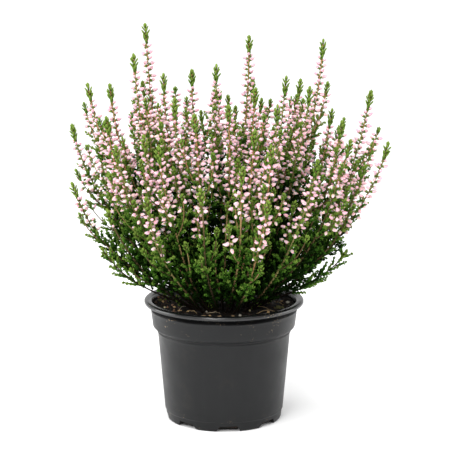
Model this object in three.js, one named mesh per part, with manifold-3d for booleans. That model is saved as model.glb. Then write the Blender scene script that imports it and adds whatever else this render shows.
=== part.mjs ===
// A bud-blooming heather in its round nursery pot.
//
// Millimetres, +Z up, -Y is the front. The origin is on the pot's axis, level
// with the surface that the pot stands on.
//
// Every stem is a three-sided skin that runs from its hole in the soil to its
// leafy tip. Buds and side shoots are drawn out of the skin's own faces, so a
// stem with all that it bears is one closed body.
import * as THREE from 'three';
import { mergeVertices } from 'three/addons/utils/BufferGeometryUtils.js';
import Module from 'manifold-3d';

const wasm = await Module();
wasm.setup();

// ---- Driving dimensions: pot and soil ----

const POT_HEIGHT = 84;
const RIM_RADIUS = 55;
const BASE_RADIUS = 39.6;
const SHOULDER_RADIUS = 45.8;     // top of the tapered body, under the band
const SHOULDER_HEIGHT = 62.5;
const BAND_BOTTOM = 66.5;
const BAND_TOP = 77.4;
const BAND_RADIUS = 50.6;         // widest part of the band, just under the neck
const NECK_RADIUS = 49.9;
const LIP_UNDERSIDE = 81;
const WALL = 1.3;
const FLOOR = 1.3;
const POT_SIDES = 32;

const NOTCH_COUNT = 8;            // drainage notches cut through wall and floor
const FIRST_NOTCH = -85.5;        // degrees: the one nearest the front
const NOTCH_TOP_WIDTH = 13;
const NOTCH_FOOT_WIDTH = 20;
const NOTCH_HEIGHT = 4;
const NOTCH_INNER_RADIUS = 33;

const SOIL_TOP = 80;
const SOIL_SIDES = 20;
const SOIL_CLEARANCE = 0.6;
const SOIL_RELIEF = 0.6;          // how far its lumps rise and fall
const SOIL_EDGE_DROP = 0.8;       // it lies a little lower along the wall
const ROOT_DEPTH = 5;             // each stem stands this deep in its hole
const HOLE_CLEARANCE = 0.7;       // on the radius of a three-sided hole
const HOLE_SPARE_DEPTH = 0.5;

// ---- Driving dimensions: stems ----

const STEM_SIDES = 3;
const RING_TURN = 60;             // each ring is turned by half a side from the last
const FOOT_RADIUS = 1.05;         // a stem's radius where it leaves the soil
const STEM_RADIUS = 0.75;         // and among its buds
const ROOT_SPREAD = 0.25;         // the roots' circle as a share of the crown's
const ROOTS_WITHIN = 25;          // and the radius that no root passes
const OUTWARD_START = 0.62;       // how strongly a stem first leans out
const OUTWARD_END = 0.1;          // and how little it still does at its tip
const WOBBLE = 1.4;

const TIP_LENGTH = 15;            // the leafy, budless end above the flowers
const TIP_LEAF_RADIUS = 2.7;
const BUD_SPACING = 3.6;          // each bud grows this far above the last
const BUD_TURN = 17.5;            // and a third of a turn and this much round the stem
const MOST_BUDS = 14;
const BUD_ZONE_SHARE = 0.4;       // the share of a stem's height that bears buds
const BUD_LENGTH = 5;
const BUD_RADIUS = 1.8;
const BUD_WIDEST = 0.58;          // the share of its length where it is widest
const BUD_LIFT_TOP = 42;          // degrees above level, for the youngest buds
const BUD_LIFT_LOW = 0;           // and for the oldest

const SHOOT_LENGTHS = [19, 14, 10];   // the longest that finds room is grown
const SHOOT_RADIUS = 1.7;
const SHOOT_WAIST = 0.95;
const SHOOT_HEIGHT = 0.4;         // where shoots grow, as a share of the bare stem
const SHOOT_BASE = 1.6;           // height of the stem's face that a shoot fills
const LEAFY_WHORLS = 4;           // places with side shoots on a leafy stem
const LEAFY_TUFT = 7;             // the length of each tuft along a leafy stem
const LEAFY_END = 0.85;           // the share of a leafy stem that its whorls fill
const TUFT_FLARE = 0.82;          // a tuft is widest at this share of its length
const TUFT_STEP = 0.6;            // then steps in over this length
const TUFT_WAIST = 0.42;          // to this share of its width
const TIP_TUFTS = 2;
const POINT_LENGTH = 1.5;         // the bare point above the last tuft
const FOOT_SHARE = 0.14;          // the share of a stem below its first bend

const STEM_GAP = 0.4;             // the least air between two stems
const LEAN_ROOM = 1.5;            // more air low down, where the stems lean
const RIM_RODS = 24;              // the rim, as straight rods that shoots keep off
const LEVEL = 8;                  // height between the places where stems are spaced
const SPACING_ROUNDS = 80;

// Where each flowering stem ends: x, y, z.
const FLOWERING_TIPS = [
  [-53, 0, 274], [-60, -20, 256], [-93, 12, 232], [-76, -20, 236], [-77, -46, 218],
  [-105, 25, 202], [-66, 60, 201], [-40, -28, 244], [-32, -58, 232], [-22, 24, 240],
  [-5, -12, 248], [-19, -74, 224], [-4, 58, 222], [-52, 38, 224], [-52, -66, 209],
  [-42, -86, 205], [-70, -70, 203], [17, 8, 265], [67, 4, 263], [99, -8, 230],
  [108, -45, 201], [104, 35, 188], [82, -66, 206], [78, -38, 214], [76, 50, 209],
  [57, -26, 235], [53, 34, 232], [42, -4, 239], [57, 74, 212], [35, -48, 226],
  [30, 80, 205], [21, -32, 235], [20, 40, 232], [3, -55, 227], [14, 97, 192],
  [20, -76, 214], [30, -92, 207], [12, -98, 194], [60, -84, 196], [74, 82, 183],
  [-103, -12, 168], [-50, -86, 172], [-15, -103, 181], [-76, -66, 160], [28, -102, 173],
  [-90, 64, 182], [-62, 88, 178], [-30, 100, 188], [46, 102, 170], [100, 62, 170],
];

// Where each leafy shoot without flowers ends. They fill the foot of the bush.
const LEAFY_TIPS = [
  [-83, -22, 125], [-5, -64, 138], [84, -16, 122], [-44, 70, 122], [43, 76, 126],
  [-78, 36, 122],
];

const MATERIALS = {
  pot: { color: 0x323334, roughness: 0.5, metalness: 0 },
  soil: { color: 0x2a1d15, roughness: 0.97, metalness: 0 },
  flowering: { color: 0xd9aebc, roughness: 0.7, metalness: 0 },
  leafy: { color: 0x466323, roughness: 0.65, metalness: 0 },
};

// ---- Small helpers ----

const radians = THREE.MathUtils.degToRad;
const lerp = THREE.MathUtils.lerp;

// The same small generator each run: every draw below comes from it in order.
function makeRandom(seed) {
  let state = seed;
  return () => {
    state = (Math.imul(state, 1664525) + 1013904223) >>> 0;
    return state / 4294967296;
  };
}

function toManifold(geometry) {
  const bare = geometry.clone();
  bare.deleteAttribute('normal');
  bare.deleteAttribute('uv');
  const merged = mergeVertices(bare, 1e-4);
  return new wasm.Manifold(new wasm.Mesh({
    numProp: 3,
    vertProperties: new Float32Array(merged.attributes.position.array),
    triVerts: new Uint32Array(merged.index.array),
  }));
}

function toGeometry(solid) {
  const mesh = solid.getMesh();
  const geometry = new THREE.BufferGeometry();
  geometry.setAttribute('position', new THREE.BufferAttribute(mesh.vertProperties, 3));
  geometry.setIndex(new THREE.BufferAttribute(mesh.triVerts, 1));
  geometry.computeVertexNormals();
  return geometry;
}

// A profile of [radius, height] turned about the upright axis.
function turned(profile, sides) {
  const points = profile.map(([radius, height]) => new THREE.Vector2(radius, height));
  return new THREE.LatheGeometry(points, sides).rotateX(Math.PI / 2);
}

// ---- Pot ----

function potGeometry() {
  const inner = (radius) => radius - WALL;
  const profile = [
    [0, 0],
    [BASE_RADIUS - 1.2, 0],
    [BASE_RADIUS, 1.4],
    [BASE_RADIUS + 0.5, 6.2],
    [BASE_RADIUS + 1.2, 7],
    [SHOULDER_RADIUS, SHOULDER_HEIGHT],
    [BAND_RADIUS - 1.6, BAND_BOTTOM - 1.2],
    [BAND_RADIUS, BAND_TOP],
    [NECK_RADIUS, BAND_TOP + 0.6],
    [NECK_RADIUS, LIP_UNDERSIDE],
    [RIM_RADIUS, LIP_UNDERSIDE + 0.5],
    [RIM_RADIUS, POT_HEIGHT - 0.7],
    [RIM_RADIUS - 0.8, POT_HEIGHT],
    [NECK_RADIUS + 0.2, POT_HEIGHT],
    [inner(NECK_RADIUS), LIP_UNDERSIDE],
    [inner(BAND_RADIUS) - 1.4, BAND_BOTTOM - 0.6],
    [inner(SHOULDER_RADIUS), SHOULDER_HEIGHT],
    [inner(BASE_RADIUS), FLOOR],
    [0, FLOOR],
  ];
  let pot = toManifold(turned(profile, POT_SIDES));
  for (let i = 0; i < NOTCH_COUNT; i += 1) {
    const angle = radians(FIRST_NOTCH + (i * 360) / NOTCH_COUNT);
    pot = pot.subtract(toManifold(notchGeometry().rotateZ(angle)));
  }
  return toGeometry(pot);
}

// A trapezium, wider at the foot, pushed outwards through the wall along +X.
function notchGeometry() {
  const below = 1;
  const outline = new THREE.Shape([
    new THREE.Vector2(-NOTCH_FOOT_WIDTH / 2, -below),
    new THREE.Vector2(NOTCH_FOOT_WIDTH / 2, -below),
    new THREE.Vector2(NOTCH_TOP_WIDTH / 2, NOTCH_HEIGHT),
    new THREE.Vector2(-NOTCH_TOP_WIDTH / 2, NOTCH_HEIGHT),
  ]);
  const depth = RIM_RADIUS - NOTCH_INNER_RADIUS;
  return new THREE.ExtrudeGeometry(outline, { depth, bevelEnabled: false })
    .rotateX(Math.PI / 2)
    .rotateZ(Math.PI / 2)
    .translate(NOTCH_INNER_RADIUS, 0, 0);
}

// ---- Soil ----

// The uneven top: two waves that cross, from about -1 to 1.
function lump(x, y) {
  return 0.7 * Math.sin(0.61 * x + 1.3) * Math.cos(0.53 * y) + 0.3 * Math.sin(0.9 * y - 0.4 * x);
}

function soilGeometry(stems) {
  const inner = (radius) => radius - WALL - SOIL_CLEARANCE;
  const top = inner(NECK_RADIUS) - 0.6;
  const profile = [
    [0, FLOOR + SOIL_CLEARANCE / 2],
    [inner(BASE_RADIUS), FLOOR + SOIL_CLEARANCE / 2],
    [inner(SHOULDER_RADIUS) - 0.4, SHOULDER_HEIGHT],
    [inner(BAND_RADIUS) - 1.8, BAND_BOTTOM],
    [top, SOIL_TOP - SOIL_EDGE_DROP],
    [top * 0.75, SOIL_TOP],
    [top * 0.38, SOIL_TOP],
    [0, SOIL_TOP],
  ];
  const plug = turned(profile, SOIL_SIDES);
  const position = plug.attributes.position;
  for (let i = 0; i < position.count; i += 1) {
    const x = position.getX(i);
    const y = position.getY(i);
    const z = position.getZ(i);
    const onTop = Math.abs(z - SOIL_TOP) < SOIL_EDGE_DROP / 2;
    if (onTop) position.setZ(i, z + SOIL_RELIEF * lump(x, y));
  }
  let soil = toManifold(plug);
  stems.forEach((stem) => {
    soil = soil.subtract(toManifold(holeGeometry(stem)));
  });
  return toGeometry(soil);
}

// The plain three-sided hole that a stem stands in, a little wider than its foot.
function holeGeometry(stem) {
  const skin = new Skin();
  const deep = stem.frameAt(0);
  deep.centre.addScaledVector(deep.tangent, -HOLE_SPARE_DEPTH);
  const lower = skin.ring(deep, FOOT_RADIUS + HOLE_CLEARANCE, 0);
  const upper = skin.ring(stem.frameAt(stem.footTop), FOOT_RADIUS + HOLE_CLEARANCE, RING_TURN);
  skin.foot(lower);
  skin.wall(lower, upper);
  skin.lid(upper);
  return skin.geometry();
}

// ---- Stems: where they run ----

// How much room a flowering or leafy stem takes up at a height, for the spacing.
function roomAt(stem, height) {
  const belowTip = stem.tip.z - height;
  if (!stem.flowering) return SHOOT_RADIUS + LEAN_ROOM;
  if (belowTip < TIP_LENGTH) return TIP_LEAF_RADIUS;
  if (belowTip < TIP_LENGTH + stem.budZone) return BUD_LENGTH + STEM_RADIUS / 2;
  return FOOT_RADIUS + LEAN_ROOM;
}

// A stem leaves its root leaning outwards and turns upright towards its tip.
// Its height grows evenly with the curve's parameter, so a level is one point.
function layOut(tips, flowering, random) {
  return tips.map(([x, y, z]) => {
    const tip = new THREE.Vector3(x, y, z);
    const height = z - SOIL_TOP;
    const spread = Math.min(ROOT_SPREAD, ROOTS_WITHIN / Math.hypot(x, y));
    const root = new THREE.Vector3(x * spread, y * spread, SOIL_TOP);
    const reach = new THREE.Vector3(x - root.x, y - root.y, 0);
    const outward = root.clone().addScaledVector(reach, OUTWARD_START);
    const upright = tip.clone().addScaledVector(reach, -OUTWARD_END);
    outward.z = SOIL_TOP + height / 3;
    upright.z = SOIL_TOP + (2 * height) / 3;
    const curve = new THREE.CubicBezierCurve3(root, outward, upright, tip);
    const phase = random() * Math.PI * 2;
    const points = [];
    for (let level = 0; level * LEVEL < height - LEVEL / 2; level += 1) {
      const share = (level * LEVEL) / height;
      const point = curve.getPoint(share);
      const sway = WOBBLE * Math.sin(Math.PI * share);
      point.x += sway * Math.sin(phase + 5 * share);
      point.y += sway * Math.cos(phase + 4 * share);
      points.push(point);
    }
    points.push(tip.clone());
    const budZone = BUD_ZONE_SHARE * height;
    return { tip, points, flowering, budZone };
  });
}

// Stems that come too near each other at a level are bent apart, a little at a
// time, and each bend is shared with the levels above and below it.
function bendApart(stems) {
  const most = Math.max(...stems.map((stem) => stem.points.length));
  for (let round = 0; round < SPACING_ROUNDS; round += 1) {
    const push = stems.map((stem) => stem.points.map(() => new THREE.Vector2()));
    for (let level = 0; level < most; level += 1) {
      const present = stems.map((stem, i) => i).filter((i) => level < stems[i].points.length);
      present.forEach((i, place) => {
        present.slice(place + 1).forEach((j) => {
          const a = stems[i].points[level];
          const b = stems[j].points[level];
          const apart = new THREE.Vector2(a.x - b.x, a.y - b.y);
          const need = roomAt(stems[i], a.z) + roomAt(stems[j], b.z) + STEM_GAP;
          const short = need - apart.length();
          if (short <= 0) return;
          apart.setLength(short / 2);
          push[i][level].add(apart);
          push[j][level].sub(apart);
        });
      });
    }
    stems.forEach((stem, i) => {
      stem.points.forEach((point, level) => {
        const here = push[i][level];
        const below = push[i][level - 1] ?? here;
        const above = push[i][level + 1] ?? here;
        point.x += 0.5 * here.x + 0.25 * (below.x + above.x);
        point.y += 0.5 * here.y + 0.25 * (below.y + above.y);
      });
    });
  }
}

// The finished line of a stem, from the bottom of its hole to its tip, with an
// upright frame that keeps one side towards the pot's axis.
class StemLine {
  constructor({ points, flowering, budZone }, number) {
    this.number = number;
    this.flowering = flowering;
    this.budZone = budZone;
    const start = points[1].clone().sub(points[0]).normalize();
    const buried = points[0].clone().addScaledVector(start, -ROOT_DEPTH);
    this.curve = new THREE.CatmullRomCurve3([buried, ...points], false, 'catmullrom', 0.5);
    this.length = this.curve.getLength();
    this.footTop = ROOT_DEPTH + (this.length - ROOT_DEPTH) * FOOT_SHARE;
    const tip = points[points.length - 1];
    this.across = new THREE.Vector3(-tip.y, tip.x, 0).normalize();
  }

  frameAt(distance) {
    const share = THREE.MathUtils.clamp(distance / this.length, 0, 1);
    const centre = this.curve.getPointAt(share);
    const tangent = this.curve.getTangentAt(share);
    const side = this.across.clone().addScaledVector(tangent, -this.across.dot(tangent));
    side.normalize();
    const normal = new THREE.Vector3().crossVectors(side, tangent);
    return { centre, tangent, side, normal };
  }
}

// ---- Stems: their skin ----

class Skin {
  constructor() {
    this.points = [];
    this.faces = [];
  }

  point(place) {
    this.points.push(place);
    return this.points.length - 1;
  }

  // Three points round a frame, turned by an angle in degrees.
  ring({ centre, side, normal }, radius, turn) {
    const indices = [];
    for (let k = 0; k < STEM_SIDES; k += 1) {
      const angle = radians(turn + (k * 360) / STEM_SIDES);
      const place = centre.clone()
        .addScaledVector(normal, radius * Math.cos(angle))
        .addScaledVector(side, radius * Math.sin(angle));
      indices.push(this.point(place));
    }
    return indices;
  }

  foot([a, b, c]) {
    this.faces.push([a, c, b]);
  }

  lid(ring) {
    this.faces.push(ring);
  }

  panel(a, b, c, d) {
    this.faces.push([a, b, d], [b, c, d]);
  }

  wall(lower, upper) {
    for (let k = 0; k < STEM_SIDES; k += 1) {
      const next = (k + 1) % STEM_SIDES;
      this.panel(lower[k], lower[next], upper[next], upper[k]);
    }
  }

  cone([a, b, c], place) {
    const apex = this.point(place);
    this.faces.push([a, b, apex], [b, c, apex], [c, a, apex]);
  }

  // Joins a four-sided opening to the first three-sided ring of a branch.
  collar([a, b, c, d], [low, right, left]) {
    this.faces.push([a, b, low], [b, right, low], [b, c, right], [c, d, left]);
    this.faces.push([c, left, right], [d, a, left], [a, low, left]);
  }

  // A branch drawn out of an opening, ring by ring, to its point.
  branch(opening, { frames, tip }) {
    let last = null;
    frames.forEach((frame) => {
      const ring = this.ring(frame, frame.radius, frame.turn);
      if (last) this.wall(last, ring);
      else this.collar(opening, ring);
      last = ring;
    });
    this.cone(last, tip);
  }

  geometry() {
    const geometry = new THREE.BufferGeometry().setFromPoints(this.points);
    geometry.setIndex(this.faces.flat());
    geometry.computeVertexNormals();
    return geometry;
  }
}

// ---- Stems: what they bear ----

// A bud or shoot is given by its rings: how far each lies from the one before,
// its radius and its rise above level, and then by how far its point lies.
function bud(age) {
  const lift = lerp(BUD_LIFT_TOP, BUD_LIFT_LOW, age);
  return {
    rings: [{ step: BUD_WIDEST * BUD_LENGTH, radius: BUD_RADIUS, lift }],
    point: (1 - BUD_WIDEST) * BUD_LENGTH,
    radius: BUD_RADIUS,
  };
}

function sideShoot(length) {
  return {
    rings: [
      { step: 0.5 * length, radius: SHOOT_RADIUS, lift: 28 },
      { step: 0.06 * length, radius: SHOOT_WAIST, lift: 45 },
    ],
    point: 0.44 * length,
    radius: SHOOT_RADIUS,
  };
}

// Follows a bud or shoot out of a face of the stem, whose corners run round it
// anticlockwise as seen from outside, with the lower edge first.
function trace(corners, tangent, { rings, point, radius: widest }) {
  const root = new THREE.Vector3();
  corners.forEach((corner) => root.addScaledVector(corner, 1 / corners.length));
  const across = corners[1].clone().sub(corners[0]).normalize();
  const outward = new THREE.Vector3().crossVectors(across, tangent).normalize();
  const centre = root.clone();
  let direction = outward;
  const frames = rings.map(({ step, radius, lift }, i) => {
    direction = outward.clone().multiplyScalar(Math.cos(radians(lift)))
      .addScaledVector(tangent, Math.sin(radians(lift)));
    centre.addScaledVector(direction, step);
    const side = new THREE.Vector3().crossVectors(direction, across);
    return { centre: centre.clone(), normal: across, side, radius, turn: 60 * i - 90 };
  });
  const tip = centre.clone().addScaledVector(direction, point);
  return { root, frames, tip, radius: widest };
}

const RIM = -1;                   // the rim's owner number; stems count from 0

// Keeps every bud and shoot clear of the rim, the soil and the other stems.
class Thicket {
  constructor() {
    this.rods = [];
  }

  add(owner, from, to, radius) {
    this.rods.push({ owner, from, to, radius });
  }

  isClear(owner, from, to, radius) {
    const lowest = (from.z + to.z) / 2 - radius;
    if (Math.min(to.z, lowest) < SOIL_TOP + 2 * SOIL_RELIEF + STEM_GAP) return false;
    return this.rods.every((rod) => rod.owner === owner
      || rodDistance(from, to, rod.from, rod.to) > radius + rod.radius + STEM_GAP);
  }

  addRim() {
    const middle = (NECK_RADIUS + RIM_RADIUS) / 2;
    const corner = (i) => {
      const angle = radians((i * 360) / RIM_RODS);
      return new THREE.Vector3(
        middle * Math.cos(angle), middle * Math.sin(angle), LIP_UNDERSIDE,
      );
    };
    for (let i = 0; i < RIM_RODS; i += 1) {
      this.add(RIM, corner(i), corner(i + 1), POT_HEIGHT - LIP_UNDERSIDE + STEM_GAP);
    }
  }

  addStem(line) {
    const pieces = Math.ceil(line.length / LEVEL);
    for (let i = 0; i < pieces; i += 1) {
      const from = line.frameAt((line.length * i) / pieces).centre;
      const to = line.frameAt((line.length * (i + 1)) / pieces).centre;
      const leafy = !line.flowering || i + 2 > pieces - TIP_LENGTH / LEVEL;
      this.add(line.number, from, to, leafy ? TIP_LEAF_RADIUS : FOOT_RADIUS);
    }
  }
}

// The least distance between two straight rods.
function rodDistance(a, b, c, d) {
  const clamp = (value) => THREE.MathUtils.clamp(value, 0, 1);
  const first = b.clone().sub(a);
  const second = d.clone().sub(c);
  const between = a.clone().sub(c);
  const aa = first.dot(first);
  const bb = second.dot(second);
  const ab = first.dot(second);
  const along = first.dot(between);
  const beside = second.dot(between);
  const cross = aa * bb - ab * ab;
  let s = cross > 1e-9 ? clamp((ab * beside - along * bb) / cross) : 0;
  const t = clamp((ab * s + beside) / bb);
  s = clamp((ab * t - along) / aa);
  const near = a.clone().addScaledVector(first, s);
  return near.distanceTo(c.clone().addScaledVector(second, t));
}

// A stem that is being drawn: its skin, and the ring that it has reached.
class Growth {
  constructor(line, thicket) {
    this.line = line;
    this.thicket = thicket;
    this.skin = new Skin();
    this.turn = 0;
    this.distance = 0;
    this.last = this.skin.ring(line.frameAt(0), FOOT_RADIUS, 0);
    this.skin.foot(this.last);
    this.rise(line.footTop, FOOT_RADIUS);
  }

  climb(distance, radius, turn = RING_TURN) {
    const lower = this.last;
    this.turn += turn;
    this.last = this.skin.ring(this.line.frameAt(distance), radius, this.turn);
    this.distance = distance;
    return lower;
  }

  // A plain length of stem.
  rise(distance, radius) {
    this.skin.wall(this.climb(distance, radius), this.last);
  }

  // A length whose faces open into the first offered shape that finds room.
  bear(height, radius, turn, offer) {
    const lower = this.climb(this.distance + height, radius, turn);
    const { tangent } = this.line.frameAt(this.distance);
    lower.forEach((corner, side) => {
      const next = (side + 1) % STEM_SIDES;
      const loop = [corner, lower[next], this.last[next], this.last[side]];
      const corners = loop.map((index) => this.skin.points[index]);
      const fits = (shape) => {
        const path = trace(corners, tangent, shape);
        const free = this.thicket.isClear(this.line.number, path.root, path.tip, shape.radius);
        return free ? path : null;
      };
      const path = offer(side).reduce((found, shape) => found ?? fits(shape), null);
      if (path) {
        this.thicket.add(this.line.number, path.root, path.tip, path.radius);
        this.skin.branch(loop, path);
      } else {
        this.skin.panel(...loop);
      }
    });
  }

  // Tufts of small leaves: each flares out, steps back in and flares again.
  clothe(end, tufts, radius) {
    const start = this.distance;
    for (let i = 0; i < tufts; i += 1) {
      const flare = lerp(start, end, (i + TUFT_FLARE) / tufts);
      this.rise(flare, radius);
      this.rise(flare + TUFT_STEP, radius * TUFT_WAIST);
    }
  }

  finish() {
    this.skin.cone(this.last, this.line.frameAt(this.line.length).centre);
    return this.skin.geometry();
  }
}

// A bare foot, side shoots, a spiral of buds and a leafy tip.
function floweringGeometry(line, thicket) {
  const growth = new Growth(line, thicket);
  const buds = Math.min(MOST_BUDS, Math.floor(line.budZone / BUD_SPACING));
  const firstBud = line.length - TIP_LENGTH - buds * BUD_SPACING;
  growth.rise(lerp(line.footTop, firstBud, SHOOT_HEIGHT), FOOT_RADIUS);
  growth.bear(SHOOT_BASE, STEM_RADIUS, 0, () => SHOOT_LENGTHS.map(sideShoot));
  growth.rise(firstBud, STEM_RADIUS);
  for (let i = 0; i < buds; i += 1) {
    const age = 1 - i / (buds - 1);
    growth.bear(BUD_SPACING, STEM_RADIUS, BUD_TURN, (side) => (
      side === i % STEM_SIDES ? [bud(age)] : []
    ));
  }
  growth.clothe(line.length - POINT_LENGTH, TIP_TUFTS, TIP_LEAF_RADIUS);
  return growth.finish();
}

// A stem clad in tufts of leaves, with whorls of side shoots and no flowers.
function leafyGeometry(line, thicket) {
  const growth = new Growth(line, thicket);
  for (let whorl = 0; whorl < LEAFY_WHORLS; whorl += 1) {
    const first = line.footTop + LEAFY_TUFT;
    const distance = lerp(first, line.length * LEAFY_END, whorl / LEAFY_WHORLS);
    growth.rise(distance - TUFT_STEP, SHOOT_RADIUS);
    growth.rise(distance, SHOOT_WAIST);
    growth.bear(SHOOT_BASE, SHOOT_WAIST, 0, () => SHOOT_LENGTHS.map(sideShoot));
  }
  growth.clothe(line.length - POINT_LENGTH, TIP_TUFTS, SHOOT_RADIUS);
  return growth.finish();
}

// ---- Assembly ----

function named(name, geometry, look) {
  const mesh = new THREE.Mesh(geometry, new THREE.MeshStandardMaterial(look));
  mesh.name = name;
  return mesh;
}

const random = makeRandom(7);
const layout = [
  ...layOut(FLOWERING_TIPS, true, random),
  ...layOut(LEAFY_TIPS, false, random),
];
bendApart(layout);
const lines = layout.map((stem, i) => new StemLine(stem, i));
const thicket = new Thicket();
thicket.addRim();
lines.forEach((line) => thicket.addStem(line));

const group = new THREE.Group();
group.add(named('pot', potGeometry(), MATERIALS.pot));
group.add(named('soil', soilGeometry(lines), MATERIALS.soil));
lines.forEach((line, i) => {
  const number = line.flowering ? i + 1 : i + 1 - FLOWERING_TIPS.length;
  const name = `${line.flowering ? 'flowering_stem' : 'leafy_shoot'}_${number}`;
  const geometry = line.flowering
    ? floweringGeometry(line, thicket)
    : leafyGeometry(line, thicket);
  group.add(named(name, geometry, line.flowering ? MATERIALS.flowering : MATERIALS.leafy));
});

export default group;
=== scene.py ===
"""A bud-blooming heather in a black nursery pot.

The plant grows along the same lines as the CAD model: one flowering or leafy stem
for each tip in the two tables below. Places and lengths in the tables and on the
plant are in millimetres until a mesh is made. The settings, the materials, the studio
and all meshes are in metres.
"""
import math

import bpy
import numpy as np
from bpy.props import FloatProperty, FloatVectorProperty, IntProperty, PointerProperty
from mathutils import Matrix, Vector, noise


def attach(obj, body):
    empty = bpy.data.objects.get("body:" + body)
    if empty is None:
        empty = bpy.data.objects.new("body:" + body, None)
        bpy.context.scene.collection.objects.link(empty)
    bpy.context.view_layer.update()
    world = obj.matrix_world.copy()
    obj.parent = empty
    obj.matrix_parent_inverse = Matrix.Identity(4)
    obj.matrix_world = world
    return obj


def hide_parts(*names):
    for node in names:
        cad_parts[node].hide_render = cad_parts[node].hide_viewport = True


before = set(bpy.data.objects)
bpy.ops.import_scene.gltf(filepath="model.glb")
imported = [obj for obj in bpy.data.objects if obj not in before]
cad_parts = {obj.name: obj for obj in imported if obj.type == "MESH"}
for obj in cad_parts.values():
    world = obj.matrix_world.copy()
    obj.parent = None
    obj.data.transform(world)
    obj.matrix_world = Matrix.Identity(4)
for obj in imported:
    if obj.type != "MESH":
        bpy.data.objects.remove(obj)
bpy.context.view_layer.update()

bl_info = {
    "name": "Potted Heather",
    "version": (1, 0, 0),
    "blender": (4, 5, 0),
    "location": "View3D > Sidebar > Heather",
    "description": "Builds a bud-blooming heather with its nursery pot and potting soil",
    "category": "Add Mesh",
}

MM = 0.001
NEAR = 1e-4

# The plant's plan, as in the CAD model ------------------------------------------
PLAN_SEED = 7
SOIL_TOP = 80
ROOT_DEPTH = 5            # how deep a stem's foot stands in the soil
ROOT_SPREAD = 0.25        # a root stands at this share of its tip's distance
ROOTS_WITHIN = 25         # and no farther out than this
OUTWARD_START = 0.62      # how far out the curve's second knot lies
OUTWARD_END = 0.1         # and how far back from the tip its third one
WOBBLE = 1.4
LEVEL = 8                 # height from one point of a line to the next
FOOT_RADIUS = 1.05
STEM_RADIUS = 0.75
SHOOT_RADIUS = 1.7
TIP_LENGTH = 15           # the leafy, budless end above the buds
TIP_LEAF_RADIUS = 2.7
BUD_ZONE_SHARE = 0.4
BUD_ROOM = 5              # room for a bud beside its stem
STEM_GAP = 0.4
LEAN_ROOM = 1.5           # more room where stems lean
SPACING_ROUNDS = 80
OWN_PUSH = 0.5            # how much of its push moves a point
NEXT_PUSH = 0.25          # and how much of each neighbour's
GOLDEN_TURN = math.radians(137.5)

FLOWERING_TIPS = [
    [-53, 0, 274], [-60, -20, 256], [-93, 12, 232], [-76, -20, 236], [-77, -46, 218],
    [-105, 25, 202], [-66, 60, 201], [-40, -28, 244], [-32, -58, 232], [-22, 24, 240],
    [-5, -12, 248], [-19, -74, 224], [-4, 58, 222], [-52, 38, 224], [-52, -66, 209],
    [-42, -86, 205], [-70, -70, 203], [17, 8, 265], [67, 4, 263], [99, -8, 230],
    [108, -45, 201], [104, 35, 188], [82, -66, 206], [78, -38, 214], [76, 50, 209],
    [57, -26, 235], [53, 34, 232], [42, -4, 239], [57, 74, 212], [35, -48, 226],
    [30, 80, 205], [21, -32, 235], [20, 40, 232], [3, -55, 227], [14, 97, 192],
    [20, -76, 214], [30, -92, 207], [12, -98, 194], [60, -84, 196], [74, 82, 183],
    [-103, -12, 168], [-50, -86, 172], [-15, -103, 181], [-76, -66, 160], [28, -102, 173],
    [-90, 64, 182], [-62, 88, 178], [-30, 100, 188], [46, 102, 170], [100, 62, 170],
]
LEAFY_TIPS = [
    [-83, -22, 125], [-5, -64, 138], [84, -16, 122], [-44, 70, 122], [43, 76, 126],
    [-78, 36, 122],
]

# The pot's outline as radius and height, from the middle of its underside, up the
# outside, over the lip and down the inside.
POT_OUTLINE = [
    (0.4, 0), (20, 0), (38.2, 0), (38.9, 0.25), (39.4, 0.75), (39.7, 1.5), (40.0, 4.0),
    (40.15, 6.1), (40.3, 6.45), (40.65, 6.75), (40.85, 7.2), (41.2, 11.0), (42.9, 30),
    (44.5, 48), (45.6, 60.6), (45.95, 61.2), (46.2, 61.7), (46.15, 62.1), (45.9, 62.35),
    (45.95, 62.8), (46.5, 63.5), (47.4, 64.3), (48.4, 65.0), (48.95, 65.6), (49.2, 66.5),
    (49.5, 69.5), (50.1, 74), (50.3, 76.2), (50.6, 76.8), (50.7, 77.2), (50.55, 77.5),
    (50.1, 77.7), (49.8, 78.0), (49.6, 79.3), (49.8, 80.7),
    (50.5, 81.0), (52.5, 81.0), (54.0, 81.1), (54.7, 81.45), (55.0, 82.1), (54.95, 82.9),
    (54.6, 83.55), (53.9, 83.95), (52.6, 84.0), (51.0, 83.9), (50.2, 83.6), (49.7, 82.9),
    (49.2, 81.6), (48.6, 80), (48.2, 73), (47.8, 66.4), (46.9, 65.2), (45.2, 63.6),
    (44.4, 61.8), (42.9, 45), (41.0, 26), (39.4, 8), (38.6, 2.4), (37.8, 1.5), (36.4, 1.3),
    (20, 1.3), (0.4, 1.3),
]
NOTCH_COUNT = 8
FIRST_NOTCH = math.radians(-85.5)
NOTCH_DISTANCE = 0.040    # from the pot's axis to the middle of a cutting block
NOTCH_DEPTH = 0.014       # the block's length along the radius
NOTCH_MARGIN = 0.001      # how far it reaches below the ground
NOTCH_FLARE = 1.08        # how much wider it is there than on the ground
SHARP_FROM = math.radians(38)

# The soil plug's outline, up to the edge of its open top.
SOIL_OUTLINE = [
    (0.3, 1.7), (20, 1.7), (37.4, 1.9), (38.3, 3.4), (43.7, 61.6), (45.2, 64.4),
    (46.8, 66.4), (47.6, 73), (48.1, 78.6),
]
SOIL_EDGE = 48.3
SOIL_MIDDLE = 0.5
SOIL_RINGS = 52
SOIL_SIDES = 120
OPEN_TOP = 79.4           # the flat top before its lumps are raised
SUNK = 0.8                # how far the lumps' middle level lies below the soil's top
EDGE_FROM = 36            # from here outwards the soil rises towards the wall
EDGE_WIDTH = 11
EDGE_RISE = 1.5
LITTER_WITHIN = 47.4

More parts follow.
